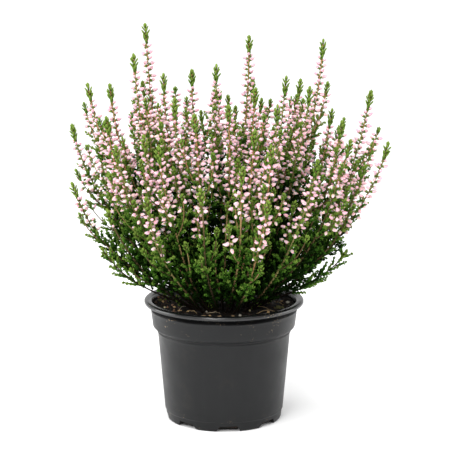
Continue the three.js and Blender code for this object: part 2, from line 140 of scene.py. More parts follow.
# What lies on the soil: places, then sizes.
PERLITE = [
    (-40.3, 18.9, 2.4, 2.2, 2), (-18.2, -8.5, 3.2, 2.4, 2), (-11.9, -19.7, 1.6, 1.4, 1.3),
    (-40.5, -11.3, 1.5, 1.3, 1.2), (17.5, -20.2, 1.7, 1.5, 1.3), (10.8, -31, 2.2, 1.7, 1.6),
    (44, 2, 4, 2.6, 1.6), (-6, -22, 1.2, 1.2, 1), (25, 31, 2, 1.8, 1.5),
    (-12, 36, 1.8, 1.6, 1.5), (2, 20, 1.5, 1.4, 1.2), (33, -28, 1.4, 1.2, 1.1),
]
BARK_PLACES = [
    (-3, -31.4), (-9.4, -32), (-14, -31), (6, -32.5), (-24, -20), (-30, -17), (-34, -8),
    (24, -27), (40, 8), (-42, 5), (12, 40), (-28, 30), (30, -24),
]
# Both ends of each fibre and how high it arches.
FIBRES = [
    (22, -26, 35, -21, 1.6), (19, -9, 31, -13, 1.2), (-31, -17, -24, -7, 1.0),
    (-23, -21, -18, -27, 0.6), (-43, 14, -38, 24, 1.5), (12, 30, 16, 38, 2.2),
    (-6, 8, 6, 2, 1.2), (33, 6, 41, -4, 1.4), (-12, -25, -2, -27, 0.7),
]
# The middle of each moss patch, its number of tufts and how far it reaches.
MOSS = [(37.7, -9.9, 46, 2.6), (30, 3.5, 16, 1.6), (-44, 8, 18, 2)]
# The foot of each low sprig, its lean and its height.
SPRIGS = [
    (-27, -10, -0.5, 11), (-12, -17, 0.4, 10), (-9, -12, -0.3, 13), (17, -14, 0.5, 10),
    (24, -12, 0.3, 12), (30, 6, 0.8, 12), (-36, 8, -0.7, 11), (8, 34, 0.2, 12),
    (-20, 34, -0.4, 12), (30, 30, 0.5, 12),
]


# Settings -----------------------------------------------------------------------
def colour(title, note, value):
    return FloatVectorProperty(
        name=title, description=note, subtype="COLOR", size=3, min=0, max=1, default=value
    )


def length(title, note, value, low=0.0):
    return FloatProperty(
        name=title, description=note, default=value, min=low, max=10, unit="LENGTH",
        precision=5,
    )


def watts(title, value):
    return FloatProperty(name=title, description="Watts", default=value, unit="POWER")


class PotSettings(bpy.types.PropertyGroup):
    """The nursery pot."""

    sides: IntProperty(
        name="Sides", description="Flat steps round the pot", default=96, min=24, max=192
    )
    notch_height: length("Notch height", "Height of the drainage notches", 0.004)
    notch_top: length("Notch top", "Width of a notch along its top", 0.0118)
    notch_foot: length("Notch foot", "Width of a notch along the ground", 0.0165)
    plastic: colour("Plastic", "Colour of the moulded plastic", (0.0036, 0.0039, 0.0043))
    dust: colour("Dust", "Colour of dried dust and soil specks", (0.36, 0.27, 0.17))
    roughness: FloatProperty(
        name="Roughness", description="How matt the plastic is", default=0.42, min=0, max=1,
        subtype="FACTOR",
    )


class SoilSettings(bpy.types.PropertyGroup):
    """The potting soil and what lies on it."""

    relief: length("Relief", "How far the soil's lumps rise and fall", 0.0011)
    crumbs: IntProperty(
        name="Crumbs", description="Loose crumbs on the soil", default=700, min=0, max=2000
    )
    peat: colour("Peat", "Colour of wet peat", (0.0030, 0.0025, 0.0017))
    dry_peat: colour("Dry peat", "Colour of the dry crumbs", (0.052, 0.028, 0.017))
    perlite: colour("Perlite", "Colour of the perlite grains", (0.62, 0.58, 0.47))
    bark: colour("Bark", "Colour of the bark chips", (0.52, 0.34, 0.16))
    straw: colour("Straw", "Colour of the loose fibres", (0.42, 0.30, 0.15))
    moss: colour("Moss", "Colour of the moss", (0.085, 0.082, 0.022))


class HeatherSettings(bpy.types.PropertyGroup):
    """The plant itself."""

    bud_length: length("Bud length", "Length of a closed bud", 0.0039)
    bud_width: length("Bud width", "Width of a closed bud", 0.00235)
    bud_spacing: length("Bud spacing", "Height from one bud to the next", 0.00140, 0.0008)
    leaf_length: length("Leaf length", "Length of a scale leaf", 0.0025)
    tip_leaf_length: length("Tip leaf length", "Length of a leaf at a stem's tip", 0.0044)
    shoot_spacing: length(
        "Side shoot spacing", "Height from one side shoot to the next", 0.0030, 0.0015
    )
    pair_spacing: length("Leaf spacing", "Distance between pairs of leaves", 0.00140, 0.0006)
    young_bud: colour("Young buds", "Colour of the buds near the tip", (0.70, 0.410, 0.480))
    old_bud: colour("Old buds", "Colour of the lowest buds", (0.75, 0.56, 0.54))
    leaf: colour("Leaves", "Colour of grown leaves", (0.038, 0.124, 0.011))
    young_leaf: colour("Young leaves", "Colour of new growth", (0.160, 0.232, 0.041))
    bract: colour("Bracts", "Colour of the bracts under a bud", (0.078, 0.113, 0.018))
    olive_bark: colour("Green bark", "Colour of the youngest bark", (0.30, 0.26, 0.095))
    red_bark: colour("Red bark", "Colour of bark in the sun", (0.42, 0.225, 0.10))
    grown_bark: colour("Grown bark", "Colour of bark halfway down", (0.34, 0.225, 0.098))
    # The old bark is darkened to near black, partly as painted shade under the foliage.
    shaded_old_bark: colour("Old bark", "Colour of a stem's woody foot", (0.011, 0.0065, 0.004))
    seed: IntProperty(name="Seed", description="Start of the random draws", default=11)


class StudioSettings(bpy.types.PropertyGroup):
    """Floor, light and camera."""

    floor: colour("Floor", "Colour of the floor", (0.92, 0.92, 0.92))
    ceiling: FloatProperty(
        name="Ceiling light", description="Strength of the broad light from above", default=1.3
    )
    softbox: watts("Softbox", 8)
    front_light: watts("Front light", 9)
    left_light: watts("Left light", 9)
    right_light: watts("Right light", 6.5)
    surroundings: FloatProperty(
        name="Surroundings", description="Brightness of the white room", default=0.86
    )
    distance: length("Camera distance", "How far in front the camera stands", 1.360)
    height: length("Camera height", "How high the camera stands", 0.418)
    pitch: FloatProperty(
        name="Camera pitch", description="How far the camera looks down",
        default=math.radians(11.74), subtype="ANGLE",
    )
    lens: FloatProperty(name="Lens", description="Focal length in millimetres", default=162.5)


# Working with Blender's tools ---------------------------------------------------
def clear_hands():
    """Object mode, with nothing selected."""
    if bpy.context.mode != "OBJECT":
        bpy.ops.object.mode_set(mode="OBJECT")
    bpy.ops.object.select_all(action="DESELECT")


def take(piece):
    """Selects one piece and nothing else."""
    clear_hands()
    piece.select_set(True)
    bpy.context.view_layer.objects.active = piece


def choose(piece, wanted):
    """In edit mode, selects the vertices whose place passes the test."""
    bpy.ops.mesh.select_mode(type="VERT")
    bpy.ops.mesh.select_all(action="DESELECT")
    bpy.ops.object.mode_set(mode="OBJECT")
    for vertex in piece.data.vertices:
        vertex.select = bool(wanted(vertex.co))
    bpy.ops.object.mode_set(mode="EDIT")


def dress(piece, material):
    piece.data.materials.clear()
    piece.data.materials.append(material)


def fix_place(piece):
    """Puts a piece's place, turn and size into its mesh."""
    take(piece)
    bpy.ops.object.transform_apply(location=True, rotation=True, scale=True)


def draw_up(name, sides, rings, point=None, pointed_foot=False):
    """A closed form drawn up ring by ring. A ring is (half width, half depth, height)
    and may end with a shift backwards. With a point, it closes to that height."""
    clear_hands()
    wide, deep, low, *shift = rings[0]
    back = shift[0] if shift else 0
    bpy.ops.mesh.primitive_circle_add(
        vertices=sides, radius=1, fill_type="NGON", location=(0, 0, 0)
    )
    piece = bpy.context.active_object
    piece.name = name
    bpy.ops.object.mode_set(mode="EDIT")
    bpy.ops.mesh.select_all(action="SELECT")
    bpy.ops.transform.resize(value=(wide, deep, 1), center_override=(0, 0, 0))
    bpy.ops.transform.translate(value=(0, back, low))
    for next_wide, next_deep, high, *shift in rings[1:]:
        next_back = shift[0] if shift else 0
        bpy.ops.mesh.extrude_region_move(
            TRANSFORM_OT_translate={"value": (0, next_back - back, high - low)}
        )
        bpy.ops.transform.resize(
            value=(next_wide / wide, next_deep / deep, 1),
            center_override=(0, next_back, high),
        )
        wide, deep, low, back = next_wide, next_deep, high, next_back
    if point is not None:
        bpy.ops.mesh.extrude_region_move(
            TRANSFORM_OT_translate={"value": (0, 0, point - low)}
        )
        bpy.ops.mesh.merge(type="CENTER")
    if pointed_foot:
        choose(piece, lambda co: co.z < rings[0][2] + NEAR)
        bpy.ops.mesh.merge(type="CENTER")
    bpy.ops.mesh.select_all(action="SELECT")
    bpy.ops.mesh.normals_make_consistent(inside=False)
    bpy.ops.object.mode_set(mode="OBJECT")
    return piece


class Mould:
    """A small shape, modelled once, that many copies are pressed from."""

    def __init__(self, piece):
        mesh = piece.data
        self.points = np.empty(len(mesh.vertices) * 3)
        mesh.vertices.foreach_get("co", self.points)
        self.points = self.points.reshape(-1, 3)
        self.corners = np.empty(len(mesh.loops), int)
        mesh.loops.foreach_get("vertex_index", self.corners)
        self.totals = np.empty(len(mesh.polygons), int)
        mesh.polygons.foreach_get("loop_total", self.totals)
        height = self.points[:, 2]
        self.along = (height - height.min()) / (height.max() - height.min())
        bpy.data.objects.remove(piece)
        bpy.data.meshes.remove(mesh)


class Growth:
    """Collects pressed copies and drawn twigs, and turns them into one mesh."""

    def __init__(self):
        self.parts = []
        self.count = 0

    def keep(self, points, corners, totals, look, *attributes):
        looks = np.full(len(totals), look)
        self.parts.append((points, corners + self.count, totals, looks, *attributes))
        self.count += len(points)

    def press(self, mould, look, roots, turns, sizes, tone, age):
        """Copies of a mould: its root, its three axes as columns, and its sizes."""
        many, per = len(roots), len(mould.points)
        shaped = mould.points[None] * sizes[:, None, :]
        points = roots[:, None, :] + np.einsum("nij,nkj->nki", turns, shaped)
        steps = np.arange(many)[:, None] * per
        self.keep(
            points.reshape(-1, 3),
            (mould.corners[None] + steps).ravel(),
            np.tile(mould.totals, many),
            look,
            np.repeat(tone, per),
            np.tile(mould.along, many),
            np.repeat(age, per),
        )

    def twig(self, look, sides, centres, turns, radii, tone, age):
        """A tube through these centres, closed at both ends."""
        rings = len(centres)
        angles = np.arange(sides) * math.tau / sides
        circle = np.stack([np.cos(angles), np.sin(angles), np.zeros(sides)], 1)
        shaped = circle[None] * radii[:, None, None]
        points = centres[:, None, :] + np.einsum("nij,nkj->nki", turns, shaped)
        ring = np.arange(rings - 1)[:, None] * sides
        here = np.arange(sides)[None]
        after = (here + 1) % sides
        walls = np.stack(
            [ring + here, ring + after, ring + sides + after, ring + sides + here], -1
        )
        low = np.arange(sides)[::-1]
        high = (rings - 1) * sides + np.arange(sides)
        self.keep(
            points.reshape(-1, 3),
            np.concatenate([walls.ravel(), low, high]),
            np.concatenate([np.full((rings - 1) * sides, 4), [sides, sides]]),
            look,
            np.full(rings * sides, tone),
            np.repeat(np.linspace(0, 1, rings), sides),
            np.repeat(age, sides),
        )

    def harvest(self, name, materials, smooth=True):
        """One object in metres, with its materials and its three attributes."""
        points, corners, totals, looks, *attributes = map(np.concatenate, zip(*self.parts))
        mesh = bpy.data.meshes.new(name)
        mesh.vertices.add(len(points))
        mesh.vertices.foreach_set("co", (points * MM).ravel())
        mesh.loops.add(len(corners))
        mesh.loops.foreach_set("vertex_index", corners)
        mesh.polygons.add(len(totals))
        mesh.polygons.foreach_set("loop_start", np.cumsum(totals) - totals)
        mesh.polygons.foreach_set("loop_total", totals)
        mesh.polygons.foreach_set("use_smooth", np.full(len(totals), smooth))
        for material in materials:
            mesh.materials.append(material)
        mesh.polygons.foreach_set("material_index", looks)
        for title, values in zip(("tone", "along", "age"), attributes):
            layer = mesh.attributes.new(title, "FLOAT", "POINT")
            layer.data.foreach_set("value", values)
        mesh.update(calc_edges=True)
        mesh.validate()
        piece = bpy.data.objects.new(name, mesh)
        bpy.context.collection.objects.link(piece)
        return piece


# Materials ----------------------------------------------------------------------
WALL_MIDDLE = 0.038       # specks gather away from the middle of the pot's wall
NECK = 0.0794             # the gap under the lip, where the plastic is painted darker as shade
LIP_FOOT = 0.0805         # the lip is shinier above this
ALGAE = (0.55, 0.47, 0.18)
WEATHERED = (0.50, 0.48, 0.42)
FLAKING_BARK = (0.46, 0.36, 0.20)
BRACT_RIM = (0.42, 0.33, 0.20)
BUD_FOOT = (0.62, 0.44, 0.37)
BUD_POINT = (0.70, 0.52, 0.565)
BUD_VEINS = (0.60, 0.24, 0.34)


class Recipe:
    """A material and the short words that build its nodes."""

    def __init__(self, name, roughness=0.6, **constants):
        self.material = bpy.data.materials.new(name)
        self.material.use_nodes = True
        self.tree = self.material.node_tree
        self.shader = self.tree.nodes["Principled BSDF"]
        self.shader.inputs["Roughness"].default_value = roughness
        for socket, value in constants.items():
            self.shader.inputs[socket.replace("_", " ")].default_value = value
        self.place = self.add("ShaderNodeTexCoord").outputs["Object"]

    def add(self, kind, **facts):
        node = self.tree.nodes.new(kind)
        for key, value in facts.items():
            setattr(node, key, value)
        return node

    def join(self, source, target):
        self.tree.links.new(source, target)

    def attribute(self, name):
        return self.add("ShaderNodeAttribute", attribute_name=name).outputs["Fac"]

    def noise(self, scale, detail=3, place=None, roughness=0.55):
        node = self.add("ShaderNodeTexNoise")
        node.inputs["Scale"].default_value = scale
        node.inputs["Detail"].default_value = detail
        node.inputs["Roughness"].default_value = roughness
        self.join(place or self.place, node.inputs["Vector"])
        return node.outputs["Fac"]

    def streaks(self, scales, detail):
        """Noise with its own scale along each axis."""
        mapping = self.add("ShaderNodeMapping")
        mapping.inputs["Scale"].default_value = scales
        self.join(self.place, mapping.inputs["Vector"])
        return self.noise(1, detail, mapping.outputs["Vector"])

    def cells(self, scale):
        node = self.add("ShaderNodeTexVoronoi")
        node.inputs["Scale"].default_value = scale
        self.join(self.place, node.inputs["Vector"])
        return node.outputs["Distance"]

    def spread(self, value, low, high, first=0.0, last=1.0):
        """Maps a value's range from low to high onto first to last, and clamps it."""
        node = self.add("ShaderNodeMapRange")
        for socket, number in zip(
            ("From Min", "From Max", "To Min", "To Max"), (low, high, first, last)
        ):
            node.inputs[socket].default_value = number
        self.join(value, node.inputs["Value"])
        return node.outputs["Result"]

    def maths(self, kind, first, second):
        node = self.add("ShaderNodeMath", operation=kind)
        for socket, value in zip(node.inputs, (first, second)):
            if isinstance(value, (int, float)):
                socket.default_value = value
            else:
                self.join(value, socket)
        return node.outputs[0]

    def off(self, value, level):
        """How far a value lies from a level, either way."""
        return self.maths("ABSOLUTE", self.maths("SUBTRACT", value, level), 0)

    def mix(self, factor, first, second):
        node = self.add("ShaderNodeMix", data_type="RGBA")
        self.join(factor, node.inputs[0])
        for socket, value in ((node.inputs[6], first), (node.inputs[7], second)):
            if isinstance(value, bpy.types.NodeSocket):
                self.join(value, socket)
            else:
                socket.default_value = (*value, 1)
        return node.outputs[2]

    def over(self, base, colour, value, *steps):
        """A colour laid over the base as the value rises, in the steps of spread."""
        return self.mix(self.spread(value, *steps), base, colour)

    def finish(self, colour, roughness=None, bump=None, strength=0.3, depth=0.001):
        self.join(colour, self.shader.inputs["Base Color"])
        if roughness is not None:
            self.join(roughness, self.shader.inputs["Roughness"])
        if bump is not None:
            node = self.add("ShaderNodeBump")
            node.inputs["Strength"].default_value = strength
            node.inputs["Distance"].default_value = depth
            self.join(bump, node.inputs["Height"])
            self.join(node.outputs["Normal"], self.shader.inputs["Normal"])
        return self.material


def dimmed(colour, factor):
    return tuple(min(1, channel * factor) for channel in colour)


def moulded_plastic(look):
    r = Recipe("moulded_plastic")
    cloud = r.noise(28, 4)
    streaks = r.streaks((160, 160, 9), 3)
    base = r.mix(r.spread(cloud, 0.35, 0.7), look.plastic, dimmed(look.plastic, 1.45))
    base = r.over(base, dimmed(look.plastic, 2.0), streaks, 0.55, 0.75, 0, 0.35)
    split = r.add("ShaderNodeSeparateXYZ")
    r.join(r.place, split.inputs[0])
    height = split.outputs[2]
    speck = r.cells(760)
    size = r.spread(r.noise(120, 2), 0.50, 0.70, 0.0, 0.26)
    middle = r.off(height, WALL_MIDDLE)
    size = r.maths("MULTIPLY", size, r.spread(middle, 0.022, 0.034, 0.15, 1.0))
    speck = r.maths("LESS_THAN", speck, size)
    base = r.over(base, look.dust, r.noise(46, 5, roughness=0.7), 0.58, 0.85, 0, 0.03)
    base = r.mix(r.maths("MULTIPLY", speck, 0.75), base, look.dust)
    # Painted shade: in the gap under the lip the shine is lowered and the plastic is darkened to
    # near black, as shade falls there.
    neck = r.off(height, NECK)
    shine = r.spread(height, LIP_FOOT, LIP_FOOT + 0.0007, 0.25, 0.56)
    shine = r.maths("MULTIPLY", shine, r.spread(neck, 0.0012, 0.0017, 0.1, 1))
    r.join(shine, r.shader.inputs["Specular IOR Level"])
    base = r.over(base, dimmed(look.plastic, 0.2), neck, 0.0013, 0.0018, 0.8, 0)
    matt = r.spread(height, 0.0795, 0.0815, look.roughness, look.roughness - 0.22)
    matt = r.maths("ADD", matt, r.spread(r.noise(65, 4), 0.3, 0.7, -0.05, 0.08))
    grain = r.noise(1500, 2)
    return r.finish(base, matt, grain, strength=0.12, depth=0.0002)


def potting_soil(look):
    r = Recipe("peat", Specular_IOR_Level=0.2)
    lumps = r.noise(260, 5, roughness=0.65)
    patches = r.noise(45, 3)
    base = r.mix(r.spread(lumps, 0.48, 0.75), look.peat, look.dry_peat)
    base = r.over(base, look.peat, patches, 0.5, 0.72, 0, 0.8)
    fibres = r.streaks((900, 240, 500), 2)
    base = r.over(base, dimmed(look.dry_peat, 2.6), fibres, 0.66, 0.74, 0, 0.5)
    wet = r.spread(r.noise(120, 2), 0.4, 0.65, 0.95, 0.5)
    return r.finish(base, wet, lumps, strength=0.8, depth=0.0012)


def dry_crumbs(look):
    r = Recipe("crumbs", roughness=0.95)
    tone = r.attribute("tone")
    base = r.mix(r.spread(tone, 0.35, 0.9), look.peat, look.dry_peat)
    base = r.over(base, dimmed(look.dry_peat, 7.5), tone, 0.70, 0.92)
    grain = r.noise(900, 3)
    base = r.over(base, look.peat, grain, 0.35, 0.7, 0, 0.6)
    return r.finish(base, None, grain, strength=0.6, depth=0.0006)


def mineral(look):
    r = Recipe("perlite", roughness=0.85)
    grain = r.noise(1400, 3)
    base = r.mix(r.spread(grain, 0.35, 0.7), dimmed(look.perlite, 0.5), look.perlite)
    base = r.over(base, ALGAE, r.attribute("tone"), 0.55, 1, 0, 0.6)
    return r.finish(base, None, grain, strength=0.6, depth=0.0005)


def bark_chip(look):
    r = Recipe("bark_chip", roughness=0.8)
    grain = r.streaks((500, 1800, 900), 3)
    base = r.mix(r.spread(grain, 0.3, 0.7), dimmed(look.bark, 0.45), dimmed(look.bark, 1.3))
    base = r.mix(r.attribute("tone"), base, dimmed(look.bark, 0.6))
    return r.finish(base, None, grain, strength=0.5, depth=0.0005)


def dry_fibre(look):
    r = Recipe("dry_fibre", roughness=0.75)
    grain = r.noise(700, 3)
    base = r.mix(r.spread(grain, 0.3, 0.7), dimmed(look.straw, 0.55), look.straw)
    base = r.over(base, WEATHERED, r.attribute("tone"), 0.5, 1, 0, 0.7)
    return r.finish(base, None, grain, strength=0.3, depth=0.0004)


def cushion_moss(look):
    r = Recipe("moss", roughness=0.95)
    grain = r.noise(1900, 4, roughness=0.7)
    base = r.mix(r.spread(grain, 0.35, 0.68), dimmed(look.moss, 0.35), dimmed(look.moss, 1.7))
    return r.finish(base, None, grain, strength=1.0, depth=0.0008)


def heather_bark(look):
    r = Recipe("heather_bark", roughness=0.75, Specular_IOR_Level=0.08)
    fine = r.streaks((1500, 1500, 330), 4)
    blotch = r.noise(210, 3)
    reddish = r.maths("ADD", r.attribute("tone"), r.spread(blotch, 0.3, 0.7, -0.45, 0.45))
    young = r.mix(r.spread(reddish, 0.3, 0.7), look.olive_bark, look.red_bark)
    grown = r.mix(
        r.spread(r.attribute("tone"), 0.45, 0.85), dimmed(look.grown_bark, 0.28), look.grown_bark
    )
    base = r.mix(r.spread(r.attribute("age"), 0.50, 0.86), grown, young)
    # Painted shade: low on the stem the bark turns to the near-black old bark.
    base = r.mix(r.spread(r.attribute("age"), 0.08, 0.30), look.shaded_old_bark, base)
    base = r.over(base, dimmed(look.shaded_old_bark, 0.6), fine, 0.3, 0.72, 0.35, 0)
    base = r.over(base, FLAKING_BARK, fine, 0.6, 0.8, 0, 0.15)
    return r.finish(base, None, fine, strength=0.5, depth=0.0004)


def heather_leaf(look):
    r = Recipe("heather_leaf", roughness=0.7, Specular_IOR_Level=0.02)
    # The leaves' colour value carries painted light and shade along with youth: it is high on
    # young growth and where light falls, and low inside the crown and near the soil.
    fresh_and_lit = r.maths("ADD", r.attribute("age"), r.spread(r.noise(55, 2), 0.3, 0.7, -0.18, 0.18))
    base = r.mix(r.spread(fresh_and_lit, 0.14, 0.98), look.leaf, look.young_leaf)
    # Painted shade: where the value is low, the leaves darken to near black.
    base = r.over(base, dimmed(look.leaf, 0.06), fresh_and_lit, -0.46, 0.16, 1, 0)
    base = r.over(base, dimmed(look.leaf, 0.32), r.attribute("tone"), 0, 1, 0.25, 0)
    # Young leaf tips are paler, and paler still where painted light falls.
    tip = r.spread(r.attribute("along"), 0.35, 1.0, 0, 0.50)
    tip = r.maths("MULTIPLY", tip, r.spread(fresh_and_lit, -0.2, 0.5))
    base = r.mix(tip, base, dimmed(look.young_leaf, 1.15))
    # Painted shade: each leaf is darker at its root, where it meets the twig.
    base = r.over(base, dimmed(look.leaf, 0.3), r.attribute("along"), 0.0, 0.45, 0.5, 0)
    fine = r.noise(2600, 2)
    return r.finish(base, None, fine, strength=0.15, depth=0.0002)


def bud_bract(look):
    r = Recipe("bud_bract", roughness=0.65, Specular_IOR_Level=0.06)
    base = r.mix(r.attribute("tone"), look.bract, dimmed(look.bract, 1.7))
    base = r.over(base, BRACT_RIM, r.attribute("along"), 0.75, 1.0, 0, 0.35)
    fine = r.noise(2200, 2)
    return r.finish(base, None, fine, strength=0.2, depth=0.0002)


def closed_bud(look):
    r = Recipe(
        "closed_bud", roughness=0.5, Specular_IOR_Level=0.12,
        Subsurface_Weight=0.25, Subsurface_Scale=0.0012,
    )
    age = r.maths("ADD", r.attribute("age"), r.spread(r.attribute("tone"), 0, 1, -0.25, 0.25))
    base = r.mix(r.spread(age, 0.1, 0.95), look.young_bud, look.old_bud)
    along = r.attribute("along")
    base = r.over(base, BUD_FOOT, along, 0.0, 0.30, 0.55, 0)
    base = r.over(base, BUD_POINT, along, 0.55, 1.0, 0, 0.45)
    veins = r.streaks((2200, 2200, 700), 2)
    base = r.over(base, BUD_VEINS, veins, 0.45, 0.75, 0, 0.25)
    return r.finish(base, None, veins, strength=0.12, depth=0.0002)


def pale_floor(look):
    r = Recipe("pale_floor", roughness=0.9, Specular_IOR_Level=0.1)
    base = r.mix(r.noise(2.5, 2), look.floor, dimmed(look.floor, 0.985))
    return r.finish(base)


# Pieces -------------------------------------------------------------------------
def declare(piece, slot, *nodes):
    """The piece goes with the plant's one body and stands for these CAD nodes."""
    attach(piece, "root")
    if nodes:
        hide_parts(*nodes)


def notch_tool(look):
    """Eight tapered blocks round the pot's foot, to cut its drainage notches."""
    blocks = []
    for i in range(NOTCH_COUNT):
        turn = FIRST_NOTCH + i * math.tau / NOTCH_COUNT
        clear_hands()
        bpy.ops.mesh.primitive_cube_add(size=1, location=(0, 0, 0))
        block = bpy.context.active_object
        foot = look.notch_foot * NOTCH_FLARE
        bpy.ops.object.mode_set(mode="EDIT")
        choose(block, lambda co: co.z < 0)
        bpy.ops.transform.resize(value=(1, foot / look.notch_top, 1), center_override=(0, 0, -0.5))
        bpy.ops.object.mode_set(mode="OBJECT")
        block.scale = (NOTCH_DEPTH, look.notch_top, look.notch_height + NOTCH_MARGIN)
        block.rotation_euler = (0, 0, turn)
        block.location = (
            NOTCH_DISTANCE * math.cos(turn),
            NOTCH_DISTANCE * math.sin(turn),
            (look.notch_height - NOTCH_MARGIN) / 2,
        )
        fix_place(block)
        blocks.append(block)
    clear_hands()
    for block in blocks:
        block.select_set(True)
    bpy.context.view_layer.objects.active = blocks[0]
    bpy.ops.object.join()
    return blocks[0]


class HEATHER_OT_pot(bpy.types.Operator):
    """Moulds the nursery pot with its rolled lip, band, foot and drainage notches."""

    bl_idname = "heather.make_pot"
    bl_label = "Nursery Pot"
    bl_options = {"REGISTER", "UNDO"}

    def execute(self, context):
        look = context.scene.pot_settings
        rings = [(r * MM, r * MM, z * MM) for r, z in POT_OUTLINE]
        pot = draw_up("nursery_pot", look.sides, rings)
        tool = notch_tool(look)
        take(pot)
        cut = pot.modifiers.new("notches", "BOOLEAN")
        cut.object = tool
        cut.solver = "EXACT"
        bpy.ops.object.modifier_apply(modifier=cut.name)
        bpy.data.objects.remove(tool)
        take(pot)
        bpy.ops.object.shade_smooth_by_angle(angle=SHARP_FROM)
        dress(pot, moulded_plastic(look))
        declare(pot, "pot_plastic", "pot")
        return {"FINISHED"}


def soil_height(x, y, relief=1.1):
    """Height of the soil's surface in millimetres at a place in millimetres."""
    here = Vector((x, y, 0))
    lumps = noise.noise(here * 0.11) + 0.6 * noise.noise(here * 0.27)
    crumbs = 0.45 * noise.noise(here * 0.7) + 0.3 * noise.noise(here * 1.3)
    edge = min(1, max(0, (math.hypot(x, y) - EDGE_FROM) / EDGE_WIDTH))
    return SOIL_TOP - SUNK + relief * (lumps + crumbs) * (1 - 0.5 * edge) + EDGE_RISE * edge**2


class HEATHER_OT_soil(bpy.types.Operator):
    """Fills the pot with crumbly potting soil."""

    bl_idname = "heather.make_soil"
    bl_label = "Potting Soil"
    bl_options = {"REGISTER", "UNDO"}

    def execute(self, context):
        look = context.scene.soil_settings
        top = [(r, OPEN_TOP) for r in np.linspace(SOIL_EDGE, SOIL_MIDDLE, SOIL_RINGS)]
        rings = [(r * MM, r * MM, z * MM) for r, z in SOIL_OUTLINE + top]
        soil = draw_up("crumbly_soil", SOIL_SIDES, rings)
        for vertex in soil.data.vertices:
            if vertex.co.z > OPEN_TOP * MM - NEAR:
                x, y = vertex.co.x / MM, vertex.co.y / MM
                vertex.co.z = soil_height(x, y, look.relief / MM) * MM
        take(soil)
        bpy.ops.object.shade_smooth()
        dress(soil, potting_soil(look))
        declare(soil, "potting_soil", "soil")
        return {"FINISHED"}


def lump_mould(name, seed, roughness, detail=1):
    """An uneven little lump, one unit across each way."""
    clear_hands()
    bpy.ops.mesh.primitive_ico_sphere_add(subdivisions=detail, radius=0.5, location=(0, 0, 0))
    lump = bpy.context.active_object
    lump.name = name
    for vertex in lump.data.vertices:
        push = noise.noise(vertex.co * 3.1 + Vector((seed, 0, 0)))
        vertex.co *= 1 + roughness * 2 * push
    bpy.ops.object.mode_set(mode="EDIT")
    bpy.ops.mesh.select_all(action="SELECT")
    bpy.ops.mesh.normals_make_consistent(inside=False)
    bpy.ops.object.mode_set(mode="OBJECT")
    return Mould(lump)


def tumbled(random, many):
    """Random turns, as three columns each."""
    draw = random.normal(size=(many, 2, 3))
    first = unit(draw[:, 0])
    second = unit(draw[:, 1] - rows_dot(draw[:, 1], first) * first)
    return np.stack([np.cross(second, first), second, first], -1)


def unit(rows):
    return rows / np.linalg.norm(rows, axis=-1, keepdims=True)


def rows_dot(a, b):
    return np.sum(a * b, axis=-1, keepdims=True)


def strewn(growth, mould, spots, sizes, random, sunk=0.25, tone=1.0):
    """Presses a lump at each spot on the soil, a little sunk in."""
    many = len(spots)
    sizes = np.array(sizes, float).reshape(many, 3)
    roots = np.array(
        [(x, y, soil_height(x, y) + (0.5 - sunk) * size[2])
         for (x, y), size in zip(spots, sizes)]
    )
    turns = tumbled(random, many)
    level = random.uniform(0, math.tau, many)
    flat = np.zeros((many, 3, 3))
    flat[:, 0, 0] = flat[:, 1, 1] = np.cos(level)
    flat[:, 0, 1], flat[:, 1, 0] = -np.sin(level), np.sin(level)
    flat[:, 2, 2] = 1
    flattened = sizes[:, 2] < 0.7 * sizes[:, 0]
    turns[flattened] = flat[flattened]
    tones = tone * random.uniform(0, 1, many)
    growth.press(mould, 0, roots, turns, sizes, tones, np.ones(many))


